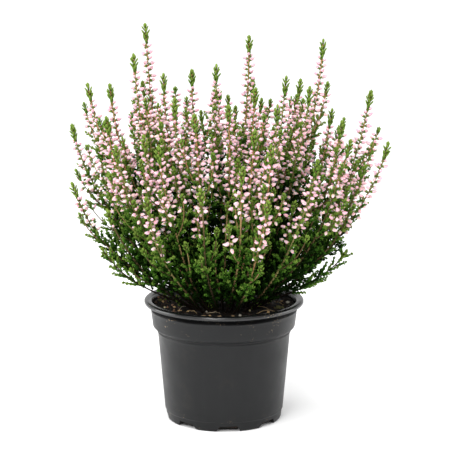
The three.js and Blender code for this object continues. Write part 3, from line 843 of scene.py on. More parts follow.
class HEATHER_OT_litter(bpy.types.Operator):
    """Strews crumbs, perlite, bark, dry fibres and a little moss on the soil."""

    bl_idname = "heather.strew_litter"
    bl_label = "Crumbs and Litter"
    bl_options = {"REGISTER", "UNDO"}

    def execute(self, context):
        look = context.scene.soil_settings
        random = np.random.default_rng(5)
        self.crumbs(look, random)
        self.grains(look, random)
        self.fibres(look, random)
        self.moss(look, random)
        return {"FINISHED"}

    def crumbs(self, look, random):
        growth = Growth()
        moulds = [lump_mould("crumb", seed, 0.35) for seed in (1, 5, 9)]
        many = look.crumbs // len(moulds)
        for mould in moulds:
            radius = LITTER_WITHIN * np.sqrt(random.uniform(0, 1, many))
            turn = random.uniform(0, math.tau, many)
            spots = np.stack([radius * np.cos(turn), radius * np.sin(turn)], 1)
            size = random.uniform(0.6, 2.3, (many, 1)) * random.uniform(0.6, 1, (many, 3))
            # The crumbs are browner and lighter towards the left.
            lighter_at_left = np.interp(spots[:, 0], (-34, -20), (1.0, 0.7))
            strewn(growth, mould, spots, size, random, 0.3, lighter_at_left)
        piece = growth.harvest("soil_crumbs", [dry_crumbs(look)], smooth=False)
        declare(piece, "potting_soil")

    def grains(self, look, random):
        white = Growth()
        spots = [row[:2] for row in PERLITE]
        sizes = [row[2:] for row in PERLITE]
        strewn(white, lump_mould("grain", 3, 0.22, 2), spots, sizes, random)
        declare(white.harvest("perlite_grains", [mineral(look)]), "potting_soil")
        brown = Growth()
        sizes = [(random.uniform(2.2, 4.6), random.uniform(1.6, 2.8), random.uniform(0.9, 1.5))
                 for _ in BARK_PLACES]
        strewn(brown, lump_mould("chip", 8, 0.3), BARK_PLACES, sizes, random, 0.1)
        declare(brown.harvest("bark_chips", [bark_chip(look)], smooth=False), "potting_soil")

    def fibres(self, look, random):
        growth = Growth()
        for x, y, end_x, end_y, arch in FIBRES:
            part = np.linspace(0, 1, 9)
            bow = np.sin(part * math.pi)
            flat = np.stack([x + (end_x - x) * part, y + (end_y - y) * part], 1)
            for k in (0, 1):
                flat[:, k] += 0.6 * bow * random.uniform(-1, 1)
            high = [soil_height(*spot) + 0.5 + arch * b for spot, b in zip(flat, bow)]
            centres = np.column_stack([flat, high])
            along = unit(np.gradient(centres, axis=0))
            up = np.tile((0, 0, 1.0), (9, 1))
            radii = np.interp(part, (0, 0.15, 0.8, 1), (0.14, 0.24, 0.20, 0.06))
            tone = random.uniform(0, 1)
            growth.twig(0, 5, centres, axes(along, up), radii, tone, np.ones(9))
        declare(growth.harvest("dry_fibres", [dry_fibre(look)]), "potting_soil")

    def moss(self, look, random):
        growth = Growth()
        mould = lump_mould("tuft", 12, 0.4)
        for x, y, many, reach in MOSS:
            spots = np.array((x, y)) + random.normal(scale=reach / 2, size=(many, 2))
            size = random.uniform(0.9, 1.8, (many, 1)) * np.ones((1, 3))
            strewn(growth, mould, spots, size, random, 0.1)
        declare(growth.harvest("moss_cushion", [cushion_moss(look)]), "potting_soil")


# The plant ----------------------------------------------------------------------
def draws(state):
    """An even stream of numbers from 0 to 1, the same as in the CAD model."""
    while True:
        state = (state * 1664525 + 1013904223) % 4294967296
        yield state / 4294967296


class Path:
    """A measured line that a stem or twig grows along."""

    def measure(self, path, across):
        steps = np.linalg.norm(np.diff(path, axis=0), axis=1)
        self.path = path
        self.reached = np.concatenate([[0], np.cumsum(steps)])
        self.length = self.reached[-1]
        self.across = across

    def at(self, distances):
        """Centres and turns along the path. A turn's columns are side, back and along."""
        def spot(d):
            return np.stack([np.interp(d, self.reached, self.path[:, k]) for k in range(3)], -1)

        distances = np.asarray(distances, float)
        ahead = np.minimum(distances + 0.6, self.length)
        behind = np.maximum(distances - 0.6, 0)
        along = unit(spot(ahead) - spot(behind))
        back = np.cross(along, np.broadcast_to(self.across, along.shape))
        return spot(distances), axes(along, back)


class Line(Path):
    """The line that one stem grows along, from its buried foot to its tip."""

    def __init__(self, tip, flowering, draw):
        self.tip = np.array(tip, float)
        self.flowering = flowering
        height = tip[2] - SOIL_TOP
        self.height = height
        self.bud_zone = BUD_ZONE_SHARE * height
        flat_tip = self.tip[:2]
        root = flat_tip * min(ROOT_SPREAD, ROOTS_WITHIN / math.hypot(*flat_tip))
        reach = flat_tip - root
        knots = (root, root + OUTWARD_START * reach, flat_tip - OUTWARD_END * reach, flat_tip)
        phase = next(draw) * math.tau
        points = []
        level = 0
        while level * LEVEL < height - LEVEL / 2:
            part = level * LEVEL / height
            rest = 1 - part
            weights = (rest**3, 3 * rest**2 * part, 3 * rest * part**2, part**3)
            flat = sum(weight * knot for weight, knot in zip(weights, knots))
            sway = WOBBLE * math.sin(math.pi * part)
            points.append((
                flat[0] + sway * math.sin(phase + 5 * part),
                flat[1] + sway * math.cos(phase + 4 * part),
                SOIL_TOP + level * LEVEL,
            ))
            level += 1
        points.append(tip)
        self.points = np.array(points, float)

    def room(self):
        """The radius that the stem needs at each of its points."""
        if not self.flowering:
            return np.full(len(self.points), SHOOT_RADIUS + LEAN_ROOM)
        below = self.tip[2] - self.points[:, 2]
        lower = np.where(
            below < TIP_LENGTH + self.bud_zone,
            BUD_ROOM + STEM_RADIUS / 2,
            FOOT_RADIUS + LEAN_ROOM,
        )
        return np.where(below < TIP_LENGTH, TIP_LEAF_RADIUS, lower)

    def settle(self):
        """Draws a smooth curve through the points and measures it."""
        start = unit(self.points[1] - self.points[0])
        knots = np.vstack([self.points[0] - ROOT_DEPTH * start, self.points])
        ends = np.vstack([2 * knots[0] - knots[1], knots, 2 * knots[-1] - knots[-2]])
        a, b, c, d = ends[:-3], ends[1:-2], ends[2:-1], ends[3:]
        t = np.linspace(0, 1, 25)[:-1, None, None]
        path = 0.5 * (
            2 * b + (c - a) * t + (2 * a - 5 * b + 4 * c - d) * t**2
            + (3 * b - a - 3 * c + d) * t**3
        )
        path = np.vstack([path.transpose(1, 0, 2).reshape(-1, 3), knots[-1]])
        self.tip = self.points[-1]
        self.measure(path, unit(np.array((-self.tip[1], self.tip[0], 0))))


def lifted(heads):
    """Directions that would lie low, turned up a little towards the light."""
    heads = unit(heads)
    heads[:, 2] += 0.45 * np.maximum(0, 0.6 - heads[:, 2])
    return unit(heads)


class Branch(Path):
    """A branch that leaves a stem, leans out and then grows beside it."""

    def __init__(self, parent, distance, angle, reach, lean):
        centre, turn = parent.at([distance])
        out = math.cos(angle) * turn[0, :, 0] + math.sin(angle) * turn[0, :, 1]
        count = max(8, int(reach / 2))
        part = np.linspace(0, 1, count)
        ahead = parent.at(np.minimum(distance + part * reach, parent.length - 1))[1][:, :, 2]
        leans = lean * (1 - part) ** 1.4 + math.radians(3)
        heads = np.sin(leans)[:, None] * out + np.cos(leans)[:, None] * ahead
        steps = np.cumsum(lifted(heads) * reach / count, axis=0)
        self.measure(np.vstack([centre, centre + steps]), np.cross(out, turn[0, :, 2]))


CROWN_HEIGHTS = (85, 100, 120, 160, 200, 230, 274)
CROWN_RADII = (50, 70, 92, 106, 109, 98, 62)
TALL = 118                # stems this far above the soil bear more branches
TALLEST = 185             # and these one more
BRANCH_TRIES = 10
BRANCH_REACH = 56
BRANCH_TOP = 236          # no branch ends above this
BELOW_TIP = 14            # or less than this below its stem's tip
BRANCH_GAP = 1.5          # the least gap to other lines
OUT_OF_CROWN = 20         # taken off the gap of a branch that leaves the crown


def crown_radius(height):
    """How far out the foliage reaches at this height."""
    return np.interp(height, CROWN_HEIGHTS, CROWN_RADII)


def branch_starts(line):
    """Where a stem's branches start, as shares of its length."""
    if not line.flowering:
        return ()
    if line.height <= TALL:
        return (0.40, 0.54)
    return (0.36, 0.47, 0.58, 0.70) + ((0.64,) if line.height > TALLEST else ())


def plan_branches(lines, random):
    """Branches for each flowering stem, each with the widest gap of ten tries."""
    taken = [line.path[::5] for line in lines]
    owner = [np.full(len(path), i) for i, path in enumerate(taken)]
    branches = [[] for _ in lines]
    jobs = [(i, start) for i, line in enumerate(lines) for start in branch_starts(line)]
    for i, start in jobs:
        line = lines[i]
        others = np.concatenate(taken)[np.concatenate(owner) != i]
        widest, best = -np.inf, None
        for _ in range(BRANCH_TRIES):
            distance = line.length * (start + random.uniform(-0.07, 0.07))
            reach = min(random.uniform(0.26, 0.40) * line.height, BRANCH_REACH)
            angle = random.uniform(0, math.tau)
            branch = Branch(line, distance, angle, reach, math.radians(random.uniform(24, 38)))
            upper = branch.path[len(branch.path) // 3:]
            gap = np.linalg.norm(upper[:, None] - others[None], axis=-1).min()
            x, y, end = upper[-1]
            too_high = end > min(line.tip[2] - BELOW_TIP, BRANCH_TOP)
            if too_high or np.hypot(x, y) > crown_radius(end):
                gap -= OUT_OF_CROWN
            if gap > widest:
                widest, best = gap, branch
        if widest >= BRANCH_GAP:
            branches[i].append(best)
            taken.append(best.path[3:])
            owner.append(np.full(len(best.path) - 3, -1))
    return branches


def axes(along, back):
    """Three columns: side, back and along, square to each other."""
    along = unit(along)
    back = unit(back - rows_dot(back, along) * along)
    return np.stack([np.cross(back, along), back, along], -1)


def plan_stems():
    """All stem lines, bent apart until each has its room."""
    draw = draws(PLAN_SEED)
    lines = [Line(tip, True, draw) for tip in FLOWERING_TIPS]
    lines += [Line(tip, False, draw) for tip in LEAFY_TIPS]
    most = max(len(line.points) for line in lines)
    grid = np.zeros((len(lines), most, 2))
    rooms = np.zeros((len(lines), most))
    counts = np.array([len(line.points) for line in lines])
    for i, line in enumerate(lines):
        grid[i, : counts[i]] = line.points[:, :2]
        rooms[i, : counts[i]] = line.room()
    for _ in range(SPACING_ROUNDS):
        push = np.zeros_like(grid)
        for level in range(most):
            here = np.flatnonzero(counts > level)
            apart = grid[here, None, level] - grid[None, here, level]
            far = np.linalg.norm(apart, axis=-1)
            np.fill_diagonal(far, np.inf)
            need = rooms[here, None, level] + rooms[None, here, level] + STEM_GAP
            short = np.maximum(need - far, 0)
            push[here, level] = np.sum(apart * (short / 2 / far)[..., None], axis=1)
        for i, count in enumerate(counts):
            mine = push[i, :count]
            below = np.vstack([mine[:1], mine[:-1]])
            above = np.vstack([mine[1:], mine[-1:]])
            grid[i, :count] += OWN_PUSH * mine + NEXT_PUSH * (below + above)
    for i, line in enumerate(lines):
        line.points[:, :2] = grid[i, : counts[i]]
        line.settle()
    return lines


# Half width and height of a bud's rings, as shares of its half width and length.
BUD_RINGS = ((0.5, 0), (1, 0.36), (0.84, 0.64), (0.38, 0.89))
CUP_RIM = 1.35            # height of the bract cup's rim
CUP_TEETH = 0.6           # how far every other corner of it stands up


class Moulds:
    """The plant's small parts, each modelled once."""

    def __init__(self, look):
        long, half = look.bud_length / MM, look.bud_width / MM / 2
        rings = [(wide * half, wide * half, high * long) for wide, high in BUD_RINGS]
        self.bud = Mould(draw_up("bud", 6, rings, point=long))
        cup = draw_up("bracts", 6, [(0.32, 0.32, 0), (1.12, 1.12, CUP_RIM)], point=1.25)
        bpy.ops.object.mode_set(mode="EDIT")
        choose(cup, lambda co: co.z > CUP_RIM - 0.05 and math.cos(3 * math.atan2(co.y, co.x)) > 0)
        bpy.ops.transform.translate(value=(0, 0, CUP_TEETH))
        bpy.ops.object.mode_set(mode="OBJECT")
        self.bracts = Mould(cup)
        leaf = look.leaf_length / MM
        rings = [(0.10, 0.10, 0), (0.66, 0.54, 0.56 * leaf, 0.10)]
        self.leaf = Mould(draw_up("scale_leaf", 3, rings, point=leaf, pointed_foot=True))
        leaf = look.tip_leaf_length / MM
        rings = [
            (0.44, 0.32, 0), (1.00, 0.60, 0.60 * leaf, 0.05), (0.70, 0.44, 0.87 * leaf, 0.08)
        ]
        self.tip_leaf = Mould(draw_up("tip_leaf", 4, rings, point=1.04 * leaf))


BARK, LEAF, BRACT, BUD = range(4)
CROSSED = math.pi / 2     # each pair of leaves stands across the one before
TRUNK_STEP = 2.4
LOWEST_BUDS = (120, 154)  # heights between which a stem's lowest buds lie
LOW_BUDS_DROP = 22        # how much lower they lie on some front stems
STALK = 0.95              # how far a bud stands out in its bracts
FRONT = -60               # tips nearer the front than this
INNER = 60                # tips within this distance of the middle
LOW_BUDDED = 3            # front stems with a multiple of this bear their buds lower
LONGEST_ZONE = 82         # of buds
LEAFY_TO = 124            # length up to which side shoots grow on a stem
SHADED = 0.46             # foliage inside this share of the crown's radius
SHADED_BELOW = 160        # and below this height is coarser
COARSE = 1.7
UPWARD = 0.75             # a side shoot's lean at its end, as a share of its first
SOIL_ROOM = 5             # how high twigs stay above the soil
RISE = 0.11               # and how much higher for each millimetre outwards
RISE_TO = 40              # up to this distance from the middle
LEFT_RISE = 3             # and more at the left, as far out as the lip


def swept(start, end, spot, longest, shortest):
    """A reach that shrinks from the first spot to the last."""
    part = (spot - start) / max(end - start, 1)
    return longest + (shortest - longest) * part


class Stem:
    """One stem of the plant, with all that grows on it."""

    def __init__(self, line, number, look, moulds, parent=None):
        self.line = line
        self.look = look
        self.moulds = moulds
        if parent:
            self.random = parent.random
            self.growth = parent.growth
            self.bark_tone = parent.bark_tone
        else:
            self.random = np.random.default_rng(look.seed * 1000 + number)
            self.growth = Growth()
            self.bark_tone = self.random.uniform(0, 1)
        self.turn = self.random.uniform(0, math.tau)
        self.first_bud = self.random.uniform(*LOWEST_BUDS)

    def trunk(self, top_radius, end, foot_radius=0.86, sides=6, age=0.0):
        """The bare stem. Its bark is young where the given age is 1, and old in its foot, where
        the near-black old bark is partly painted shade.
        """
        distances = np.arange(0, end, TRUNK_STEP)
        distances[-1] = end
        centres, turns = self.line.at(distances)
        part = distances / self.line.length
        middle = 0.55 * foot_radius + 0.1
        widths = (foot_radius, 0.87 * foot_radius, middle, top_radius)
        radii = np.interp(part, (0, 0.12, 0.5, 1), widths)
        radii *= 1 + 0.09 * self.random.uniform(-1, 1, len(radii))
        height = centres[:, 2]
        above_soil = np.interp(height, (88, 112), (0, age))
        ages = np.maximum(above_soil, np.interp(height, (84, 215), (0, 1)))
        self.growth.twig(BARK, sides, centres, turns, radii, self.bark_tone, ages)

    def leaves(self, mould, centres, along, out, splay, sizes, age, offset):
        """Presses leaves that stand off from a twig by the angle splay."""
        lean = np.sin(splay)[:, None] * out + np.cos(splay)[:, None] * along
        turns = axes(lean, -out)
        tone = self.random.uniform(0, 1, len(centres))
        self.growth.press(
            mould, LEAF, centres + offset * out, turns,
            np.repeat(sizes[:, None], 3, 1), tone, age,
        )

    def shaken(self, values, scale):
        return values + self.random.normal(scale=scale, size=len(values))

    def around(self, turns, angle):
        """Unit rows that point outwards from the stem at these angles."""
        return (
            np.cos(angle)[:, None] * turns[..., 0] + np.sin(angle)[:, None] * turns[..., 1]
        )

    def tip(self, zone=TIP_LENGTH, size=1.0, young=0.95):
        """The leafy end: crossed pairs of blunt leaves that close over the point."""
        leaf = self.look.tip_leaf_length / MM * size
        end = self.line.length - 0.92 * leaf
        spots = np.arange(end - 0.2, self.line.length - zone, -1.45 * size)
        part = np.clip((end - spots) / max(zone - leaf, 1), 0, 1)
        turn = self.random.uniform(0, math.tau)
        for half in (0, math.pi):
            centres, turns = self.line.at(spots)
            angle = turn + half + np.arange(len(spots)) * (CROSSED + 0.3)
            out = self.around(turns, self.shaken(angle, 0.12))
            splay = np.radians(np.interp(part, (0, 0.2, 0.55, 0.8, 1), (16, 32, 36, 24, 10)))
            splay = self.shaken(splay, 0.05)
            sizes = size * np.interp(part, (0, 0.3, 0.7, 1), (0.78, 1.02, 1.05, 0.85))
            age = np.interp(part, (0, 1), (young, young - 0.45))
            self.leaves(self.moulds.tip_leaf, centres, turns[..., 2], out, splay, sizes, age, 0.35)
        self.point(self.line.at([end]), self.moulds.tip_leaf, 0.85 * size, young, 4)

    def point(self, spot, mould, size, age, many=3):
        """A few leaves closed over a twig's end."""
        centre, turns = spot
        centres, turns = np.repeat(centre, many, 0), np.repeat(turns, many, 0)
        angle = np.arange(many) * math.tau / many + self.random.uniform(0, 1)
        splay = np.full(many, math.radians(4))
        self.leaves(
            mould, centres, turns[..., 2], self.around(turns, angle), splay,
            np.full(many, size), np.full(many, age), 0.2,
        )

    def buds(self, start, end):
        """Closed buds in cups of bracts, all round the stem, with leaves between them."""
        look = self.look
        spots = np.arange(start, end, 1.0)
        centres = self.line.at(spots)[0]
        lowest = self.first_bud + 0.06 * np.hypot(centres[:, 0], centres[:, 1])
        lowest = lowest + np.interp(-centres[:, 1], (20, 80), (0, 10))
        high = np.flatnonzero(centres[:, 2] > lowest)
        if not len(high):
            return
        start = spots[high[0]]
        count = int((end - start) * MM / look.bud_spacing)
        spots = self.shaken(end - (end - start) * np.linspace(0, 1, count), 0.25)
        down = np.clip((end - spots) / max(end - start, 1), 0, 1)
        kept = self.random.uniform(0, 1, len(spots)) < np.interp(down, (0.5, 1), (1, 0.35))
        spots, down = spots[kept], down[kept]
        centres, turns = self.line.at(spots)
        angle = self.shaken(self.turn + np.arange(len(spots)) * GOLDEN_TURN, 0.2)
        out = self.around(turns, angle)
        lift = np.radians(np.interp(down, (0, 0.15, 0.6, 1), (34, 20, 8, -8)))
        lift = self.shaken(lift, 0.13)
        lean = np.cos(lift)[:, None] * out + np.sin(lift)[:, None] * turns[..., 2]
        faces = axes(lean, np.cross(lean, out + 1e-3) + turns[..., 2])
        size = np.interp(down, (0, 0.1, 1), (0.82, 1.0, 1.04))
        size = size * self.random.uniform(0.88, 1.1, len(spots))
        sizes = np.repeat(size[:, None], 3, 1)
        tone = self.random.uniform(0, 1, len(spots))
        roots = centres + 0.45 * out
        self.growth.press(self.moulds.bracts, BRACT, roots, faces, sizes, tone, down)
        sizes = sizes * self.random.uniform(0.92, 1.08, (len(spots), 1))
        roots = roots + lean * (STALK * size)[:, None]
        self.growth.press(self.moulds.bud, BUD, roots, faces, sizes, tone, down)
        for side in (-0.6, 0.7):
            swing = side + self.random.normal(scale=0.35, size=len(spots))
            self.leaves(
                self.moulds.leaf, centres - 0.9 * turns[..., 2], turns[..., 2],
                self.around(turns, angle + swing),
                np.radians(self.random.uniform(22, 50, len(spots))),
                self.random.uniform(0.65, 1.0, len(spots)),
                np.interp(down, (0, 1), (0.50, 0.25)), 0.45,
            )

    def side_shoot(self, distance, angle, reach, wide, fresh_and_lit):
        """A short twig covered with four rows of scale leaves."""
        centre, turn = self.line.at([distance])
        out = self.around(turn, np.array([angle]))[0]
        along = turn[0, :, 2]
        plump = np.interp(-centre[0, 1], (0, 35), (0, 1))
        high = np.interp(centre[0, 2], (150, 190), (0, 1))
        reach *= (1.15 - 0.15 * plump) * (1 - 0.4 * high * plump)
        depth = math.hypot(centre[0, 0], centre[0, 1]) / crown_radius(centre[0, 2])
        coarse = COARSE if depth < SHADED and centre[0, 2] < SHADED_BELOW else 1.0
        count = max(4, int(reach / (coarse * self.look.pair_spacing / MM)))
        part = np.linspace(0, 1, count)
        lean = np.radians(wide + (UPWARD * wide - wide) * part)
        heads = lifted(np.sin(lean)[:, None] * out + np.cos(lean)[:, None] * along)
        centres = centre[0] + np.cumsum(heads * reach / count, axis=0)
        if not self.is_clear(centres):
            return
        side = np.cross(along, out)
        turns = axes(heads, np.broadcast_to(side, heads.shape))
        radii = np.interp(part, (0, 0.25, 0.8, 1), (0.45, 0.85, 0.85, 0.5))
        rings = np.unique(np.linspace(0, count - 1, max(3, count // 3)).astype(int))
        # Painted light and shade: the shoot's leaves are lighter towards the outside of the crown,
        # high up and at the shoot's young end, and darker inside the crown and near the soil.
        middle = centres[len(centres) // 2]
        outer = math.hypot(middle[0], middle[1]) / crown_radius(middle[2])
        outer = max(outer, np.interp(middle[2], (140, 195), (0.2, 0.9)))
        low = np.interp(middle[2], (92, 140), (0.50, 0)) - 0.25 * high
        shade = np.interp(outer, (0.45, 1.0), (-0.90, 0.46)) - low
        fresh_and_lit = fresh_and_lit + self.random.normal(scale=0.20)
        bright = fresh_and_lit + shade + 0.10 + 0.55 * part**2
        self.growth.twig(
            LEAF, 4, centres[rings], turns[rings], radii[rings], 0.4, bright[rings] - 0.2,
        )
        spin = self.random.uniform(0, math.pi)
        size = coarse**0.5 * np.interp(part, (0, 0.25, 0.8, 1), (0.80, 1.0, 1.05, 0.9))
        for half in (0, math.pi):
            turned = spin + half + np.arange(count) * CROSSED
            outs = self.around(turns, turned)
            splay = np.radians(self.random.uniform(20, 29, count))
            sizes = size * self.random.uniform(0.9, 1.1, count)
            self.leaves(
                self.moulds.leaf, centres, heads, outs, splay, sizes, bright, 0.28
            )
        end = (centres[-1:] + 0.3 * heads[-1:], turns[-1:])
        self.point(end, self.moulds.leaf, 0.9, fresh_and_lit + shade + 0.65)

    def spray(self, distance, angle, reach, lean, fresh_and_lit):
        """A feathery side branch: a thin axis with short leafy shoots all along."""
        line = Branch(self.line, distance, angle, reach, lean)
        if not self.is_clear(line.path[2:]):
            return
        stem = Stem(line, 0, self.look, self.moulds, self)
        centres, turns = line.at(np.linspace(0, line.length - 1.5, 8))
        self.growth.twig(
            LEAF, 4, centres, turns, np.linspace(0.5, 0.3, 8), 0.4, np.full(8, fresh_and_lit - 0.3)
        )
        stem.side_shoots(4, line.length - 3, 6.5, 4.5, 2.3, fresh_and_lit)
        stem.stem_leaves(line.length - 6, line.length - 1, fresh_and_lit + 0.4, 1.3)
        stem.point(line.at([line.length - 1.6]), self.moulds.leaf, 0.9, fresh_and_lit + 0.5)

    def sprays(self, start, end, spacing, longest, shortest, fresh_and_lit):
        """Side branches in a spiral up the stem."""
        angle = self.turn + 2.0
        for spot in np.arange(start, end, spacing):
            reach = swept(start, end, spot, longest, shortest)
            reach *= self.random.uniform(0.75, 1.15)
            angle += GOLDEN_TURN + self.random.normal(scale=0.3)
            self.spray(spot, angle, reach, math.radians(self.random.uniform(42, 62)), fresh_and_lit)

    def stem_leaves(self, start, end, fresh_and_lit, spacing=1.9):
        """Pairs of leaves that stand on the stem itself."""
        spots = np.arange(start, end, spacing)
        # Painted shade: these leaves darken towards the soil.
        for half in (0, math.pi):
            centres, turns = self.line.at(spots)
            angle = self.turn + half + np.arange(len(spots)) * CROSSED
            self.leaves(
                self.moulds.leaf, centres, turns[..., 2], self.around(turns, angle),
                np.radians(self.random.uniform(24, 44, len(spots))),
                self.random.uniform(0.9, 1.25, len(spots)),
                np.interp(centres[:, 2], (95, 150), (-0.5, 0.25)) + fresh_and_lit, 0.55,
            )

    def is_clear(self, centres):
        """A twig stays above the soil and off the pot's lip."""
        around = np.hypot(centres[:, 0], centres[:, 1])
        lowest = SOIL_TOP + SOIL_ROOM + RISE * np.minimum(around, RISE_TO)
        lowest = lowest + LEFT_RISE * (centres[:, 0] < -20) * (around < 58)
        return not (centres[:, 2] < lowest).any()

    def side_shoots(self, start, end, longest, shortest, spacing, fresh_and_lit):
        """Pairs of side shoots, each pair across the one before."""
        angle = self.turn + 1.0
        for spot in self.shaken(np.arange(start, end, 2 * spacing), 0.4):
            angle += CROSSED + self.random.normal(scale=0.15)
            for half in (0, math.pi):
                reach = swept(start, end, spot, longest, shortest)
                reach *= self.random.choice((0.7, 0.9, 1.0, 1.1))
                wide = self.random.uniform(36, 54)
                self.side_shoot(spot + half / 6, angle + half, reach, wide, fresh_and_lit)


def flowering_branch(parent, line):
    """A lesser spike beside its stem: fewer buds and a leafy end."""
    stem = Stem(line, 0, parent.look, parent.moulds, parent)
    stem.trunk(0.36, line.length - 2.4, 0.62, 4, 0.3)
    tip = stem.random.uniform(6, 12)
    stem.tip(tip, 0.78, 0.75)
    zone = stem.random.uniform(0.38, 0.56) * line.length
    stem.buds(line.length - tip - zone, line.length - tip + 1)
    stem.side_shoots(3, line.length - tip - 0.65 * zone, 8, 5.5, 2.6, 0.05)
    stem.stem_leaves(2, line.length - tip - zone, 0.1)


def flowering_stem(line, number, look, moulds, branches):
    """A whole stem: its lesser spikes, trunk, tip, buds and foliage."""
    stem = Stem(line, number, look, moulds)
    zone = np.interp(line.height, (95, 115, 140), (0.42, 0.54, 0.50)) * line.height
    zone = min(zone, LONGEST_ZONE)
    for branch in branches:
        flowering_branch(stem, branch)
    top = line.length - TIP_LENGTH
    first = top - zone
    front = line.tip[1] < FRONT
    low_budded = front and number % LOW_BUDDED == 0
    if low_budded:
        stem.first_bud = min(stem.first_bud, 128) - LOW_BUDS_DROP
    # Painted light: the low-budded front stems keep lighter bark low down.
    stem.trunk(0.45, line.length - 3.0, age=0.78 if low_budded else 0.0)
    stem.tip()
    stem.buds(first, top + 1)
    foot = ROOT_DEPTH + 8
    spacing = look.shoot_spacing / MM
    # Each stem's leaves are lighter or darker at random, and the low-budded front stems get
    # painted light on top.
    fresh_and_lit = stem.random.uniform(-0.5, 0.15) + (0.4 if low_budded else 0)
    inner = math.hypot(line.tip[0], line.tip[1]) < INNER or line.tip[1] > 0
    leafy_to = min(first + (0.85 if inner else 0.5) * zone, LEAFY_TO)
    stem.side_shoots(foot, leafy_to, 8.5, 6, 0.85 * spacing, fresh_and_lit)
    stem.sprays(foot + 3, first, 24 if front else 12, 30, 16, fresh_and_lit)
    stem.stem_leaves(foot, first + 0.3 * zone, fresh_and_lit)
    return stem.growth


def leafy_stem(line, number, look, moulds):
    """A low stem with long side shoots and no buds."""
    stem = Stem(line, number, look, moulds)
    stem.trunk(0.4, line.length - 2.5)
    stem.tip(10, 0.85)
    fresh_and_lit = stem.random.uniform(0.05, 0.3)
    spacing = look.shoot_spacing / MM * 0.8
    stem.side_shoots(ROOT_DEPTH + 9, line.length - 7, 14, 6, spacing, fresh_and_lit)
    return stem.growth


class HEATHER_OT_stems(bpy.types.Operator):
    """Grows all the flowering stems and leafy shoots."""

    bl_idname = "heather.grow_stems"
    bl_label = "Flowering and Leafy Stems"
    bl_options = {"REGISTER", "UNDO"}

    def execute(self, context):
        look = context.scene.heather_settings
        moulds = Moulds(look)
        materials = [
            heather_bark(look), heather_leaf(look), bud_bract(look), closed_bud(look)
        ]
        lines = plan_stems()
        flowering = [line for line in lines if line.flowering]
        leafy = [line for line in lines if not line.flowering]
        branches = plan_branches(lines, np.random.default_rng(look.seed))
        for i, line in enumerate(flowering, 1):
            growth = flowering_stem(line, i, look, moulds, branches[i - 1])
            piece = growth.harvest(f"budded_stem_{i}", materials)
            declare(piece, "flowering_heather", f"flowering_stem_{i}")
        for i, line in enumerate(leafy, 1):
            growth = leafy_stem(line, 100 + i, look, moulds)
            piece = growth.harvest(f"leafy_spray_{i}", materials[:2])
            declare(piece, "leafy_heather", f"leafy_shoot_{i}")
        sprigs = low_sprigs(look, moulds).harvest("low_sprigs", materials[:2])
        declare(sprigs, "leafy_heather")
        return {"FINISHED"}


def low_sprigs(look, moulds):
    """Young leafy sprigs that come up between the stems' feet."""
    stem = None
    for i, (x, y, lean, high) in enumerate(SPRIGS):
        foot = np.array((x, y, soil_height(x, y) - 1.5))
        head = foot + np.array((high * math.sin(lean), -0.25 * high, high))
        part = np.linspace(0, 1, 9)[:, None]
        bow = np.array((0.12 * high * (1 if i % 2 else -1), 0, 0.1 * high))
        path = foot + (head - foot) * part + np.sin(part * math.pi) * bow
        line = Path()
        line.measure(path, np.array((0, 1.0, 0)))
        stem = Stem(line, 200 + i, look, moulds, stem)
        stem.trunk(0.3, line.length - 1, 0.45, 4, 0.6)
        spots = np.arange(3.2, line.length - 1, 1.5)
        centres, turns = line.at(spots)
        for half in (0, math.pi):
            out = stem.around(turns, half + np.arange(len(spots)) * CROSSED)
            splay = np.radians(stem.random.uniform(36, 56, len(spots)))
            stem.leaves(moulds.leaf, centres, turns[..., 2], out, splay,
                        stem.random.uniform(0.8, 1.1, len(spots)), np.full(len(spots), 0.85), 0.3)
        stem.point(line.at([line.length - 1.2]), moulds.leaf, 0.9, 0.95)
    return stem.growth


# Stage --------------------------------------------------------------------------
FLOOR_RADIUS = 6
CEILING_WIDTH = math.radians(75)
CEILING_TURN = (math.radians(24), math.radians(-5), 0)
CAMERA_SIDE = 0.0007
AIM = Vector((0, 0, 0.13))
# Each lamp's name, width and place.
LAMPS = (
    ("softbox", 0.5, (-0.25, -0.55, 1.25)),
    ("front_light", 0.6, (-0.40, -1.30, 0.75)),
    ("left_light", 0.9, (-1.2, 0.15, 0.45)),
    ("right_light", 0.9, (1.25, 0.2, 0.45)),
)


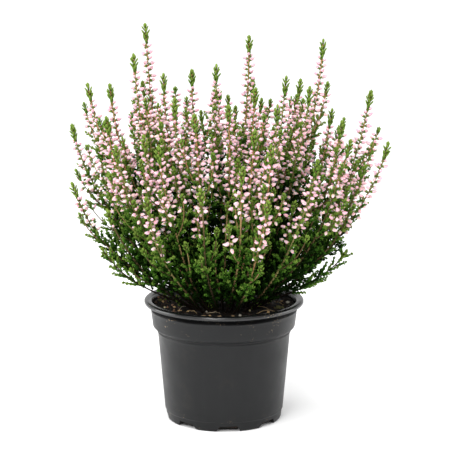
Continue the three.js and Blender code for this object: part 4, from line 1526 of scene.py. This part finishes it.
class HEATHER_OT_stage(bpy.types.Operator):
    """Sets up the pale floor, the soft lights and the camera."""

    bl_idname = "heather.set_stage"
    bl_label = "Studio"
    bl_options = {"REGISTER", "UNDO"}

    def execute(self, context):
        look = context.scene.studio_settings
        clear_hands()
        bpy.ops.mesh.primitive_circle_add(
            vertices=96, radius=FLOOR_RADIUS, fill_type="NGON", location=(0, 0, 0)
        )
        floor = context.active_object
        floor.name = "studio_floor"
        bpy.ops.object.mode_set(mode="EDIT")
        bpy.ops.mesh.select_all(action="SELECT")
        bpy.ops.mesh.inset(thickness=0.5)
        bpy.ops.object.mode_set(mode="OBJECT")
        floor.data.materials.append(pale_floor(look))
        for name, width, place in LAMPS:
            self.light(context, name, getattr(look, name), width, place)
        ceiling = bpy.data.lights.new("ceiling_light", "SUN")
        ceiling.energy = look.ceiling
        ceiling.angle = CEILING_WIDTH
        holder = bpy.data.objects.new("ceiling_light", ceiling)
        context.collection.objects.link(holder)
        holder.rotation_euler = CEILING_TURN
        world = bpy.data.worlds.new("white_room")
        world.use_nodes = True
        background = world.node_tree.nodes["Background"]
        background.inputs["Color"].default_value = (1, 1, 1, 1)
        background.inputs["Strength"].default_value = look.surroundings
        context.scene.world = world
        context.scene.view_settings.view_transform = "Standard"
        camera = bpy.data.objects.new("camera", bpy.data.cameras.new("camera"))
        context.collection.objects.link(camera)
        camera.location = (CAMERA_SIDE, -look.distance, look.height)
        camera.rotation_euler = (math.pi / 2 - look.pitch, 0, 0)
        camera.data.sensor_width = 36
        camera.data.lens = look.lens
        context.scene.camera = camera
        return {"FINISHED"}

    def light(self, context, name, power, width, place):
        lamp = bpy.data.lights.new(name, "AREA")
        lamp.shape = "DISK"
        lamp.size = width
        lamp.energy = power
        holder = bpy.data.objects.new(name, lamp)
        context.collection.objects.link(holder)
        holder.location = place
        holder.rotation_euler = (AIM - Vector(place)).to_track_quat("-Z", "Y").to_euler()


# Panel and registration ---------------------------------------------------------
STEPS = (
    HEATHER_OT_pot,
    HEATHER_OT_soil,
    HEATHER_OT_litter,
    HEATHER_OT_stems,
    HEATHER_OT_stage,
)
GROUPS = {
    "pot_settings": PotSettings,
    "soil_settings": SoilSettings,
    "heather_settings": HeatherSettings,
    "studio_settings": StudioSettings,
}


class HEATHER_PT_panel(bpy.types.Panel):
    """Lists the pieces, in the order in which they are made."""

    bl_idname = "HEATHER_PT_panel"
    bl_label = "Potted Heather"
    bl_space_type = "VIEW_3D"
    bl_region_type = "UI"
    bl_category = "Heather"

    def draw(self, context):
        for step in STEPS:
            self.layout.operator(step.bl_idname)
        for title, group in GROUPS.items():
            box = self.layout.box()
            box.label(text=group.__doc__)
            for name in group.__annotations__:
                box.prop(getattr(context.scene, title), name)


def register():
    for group in GROUPS.values():
        bpy.utils.register_class(group)
    for title, group in GROUPS.items():
        setattr(bpy.types.Scene, title, PointerProperty(type=group))
    for step in STEPS:
        bpy.utils.register_class(step)
    bpy.utils.register_class(HEATHER_PT_panel)


def unregister():
    bpy.utils.unregister_class(HEATHER_PT_panel)
    for step in reversed(STEPS):
        bpy.utils.unregister_class(step)
    for title in GROUPS:
        delattr(bpy.types.Scene, title)
    for group in reversed(list(GROUPS.values())):
        bpy.utils.unregister_class(group)


def main():
    register()
    bpy.ops.heather.make_pot()
    bpy.ops.heather.make_soil()
    bpy.ops.heather.strew_litter()
    bpy.ops.heather.grow_stems()
    bpy.ops.heather.set_stage()


if __name__ == "__main__":
    main()
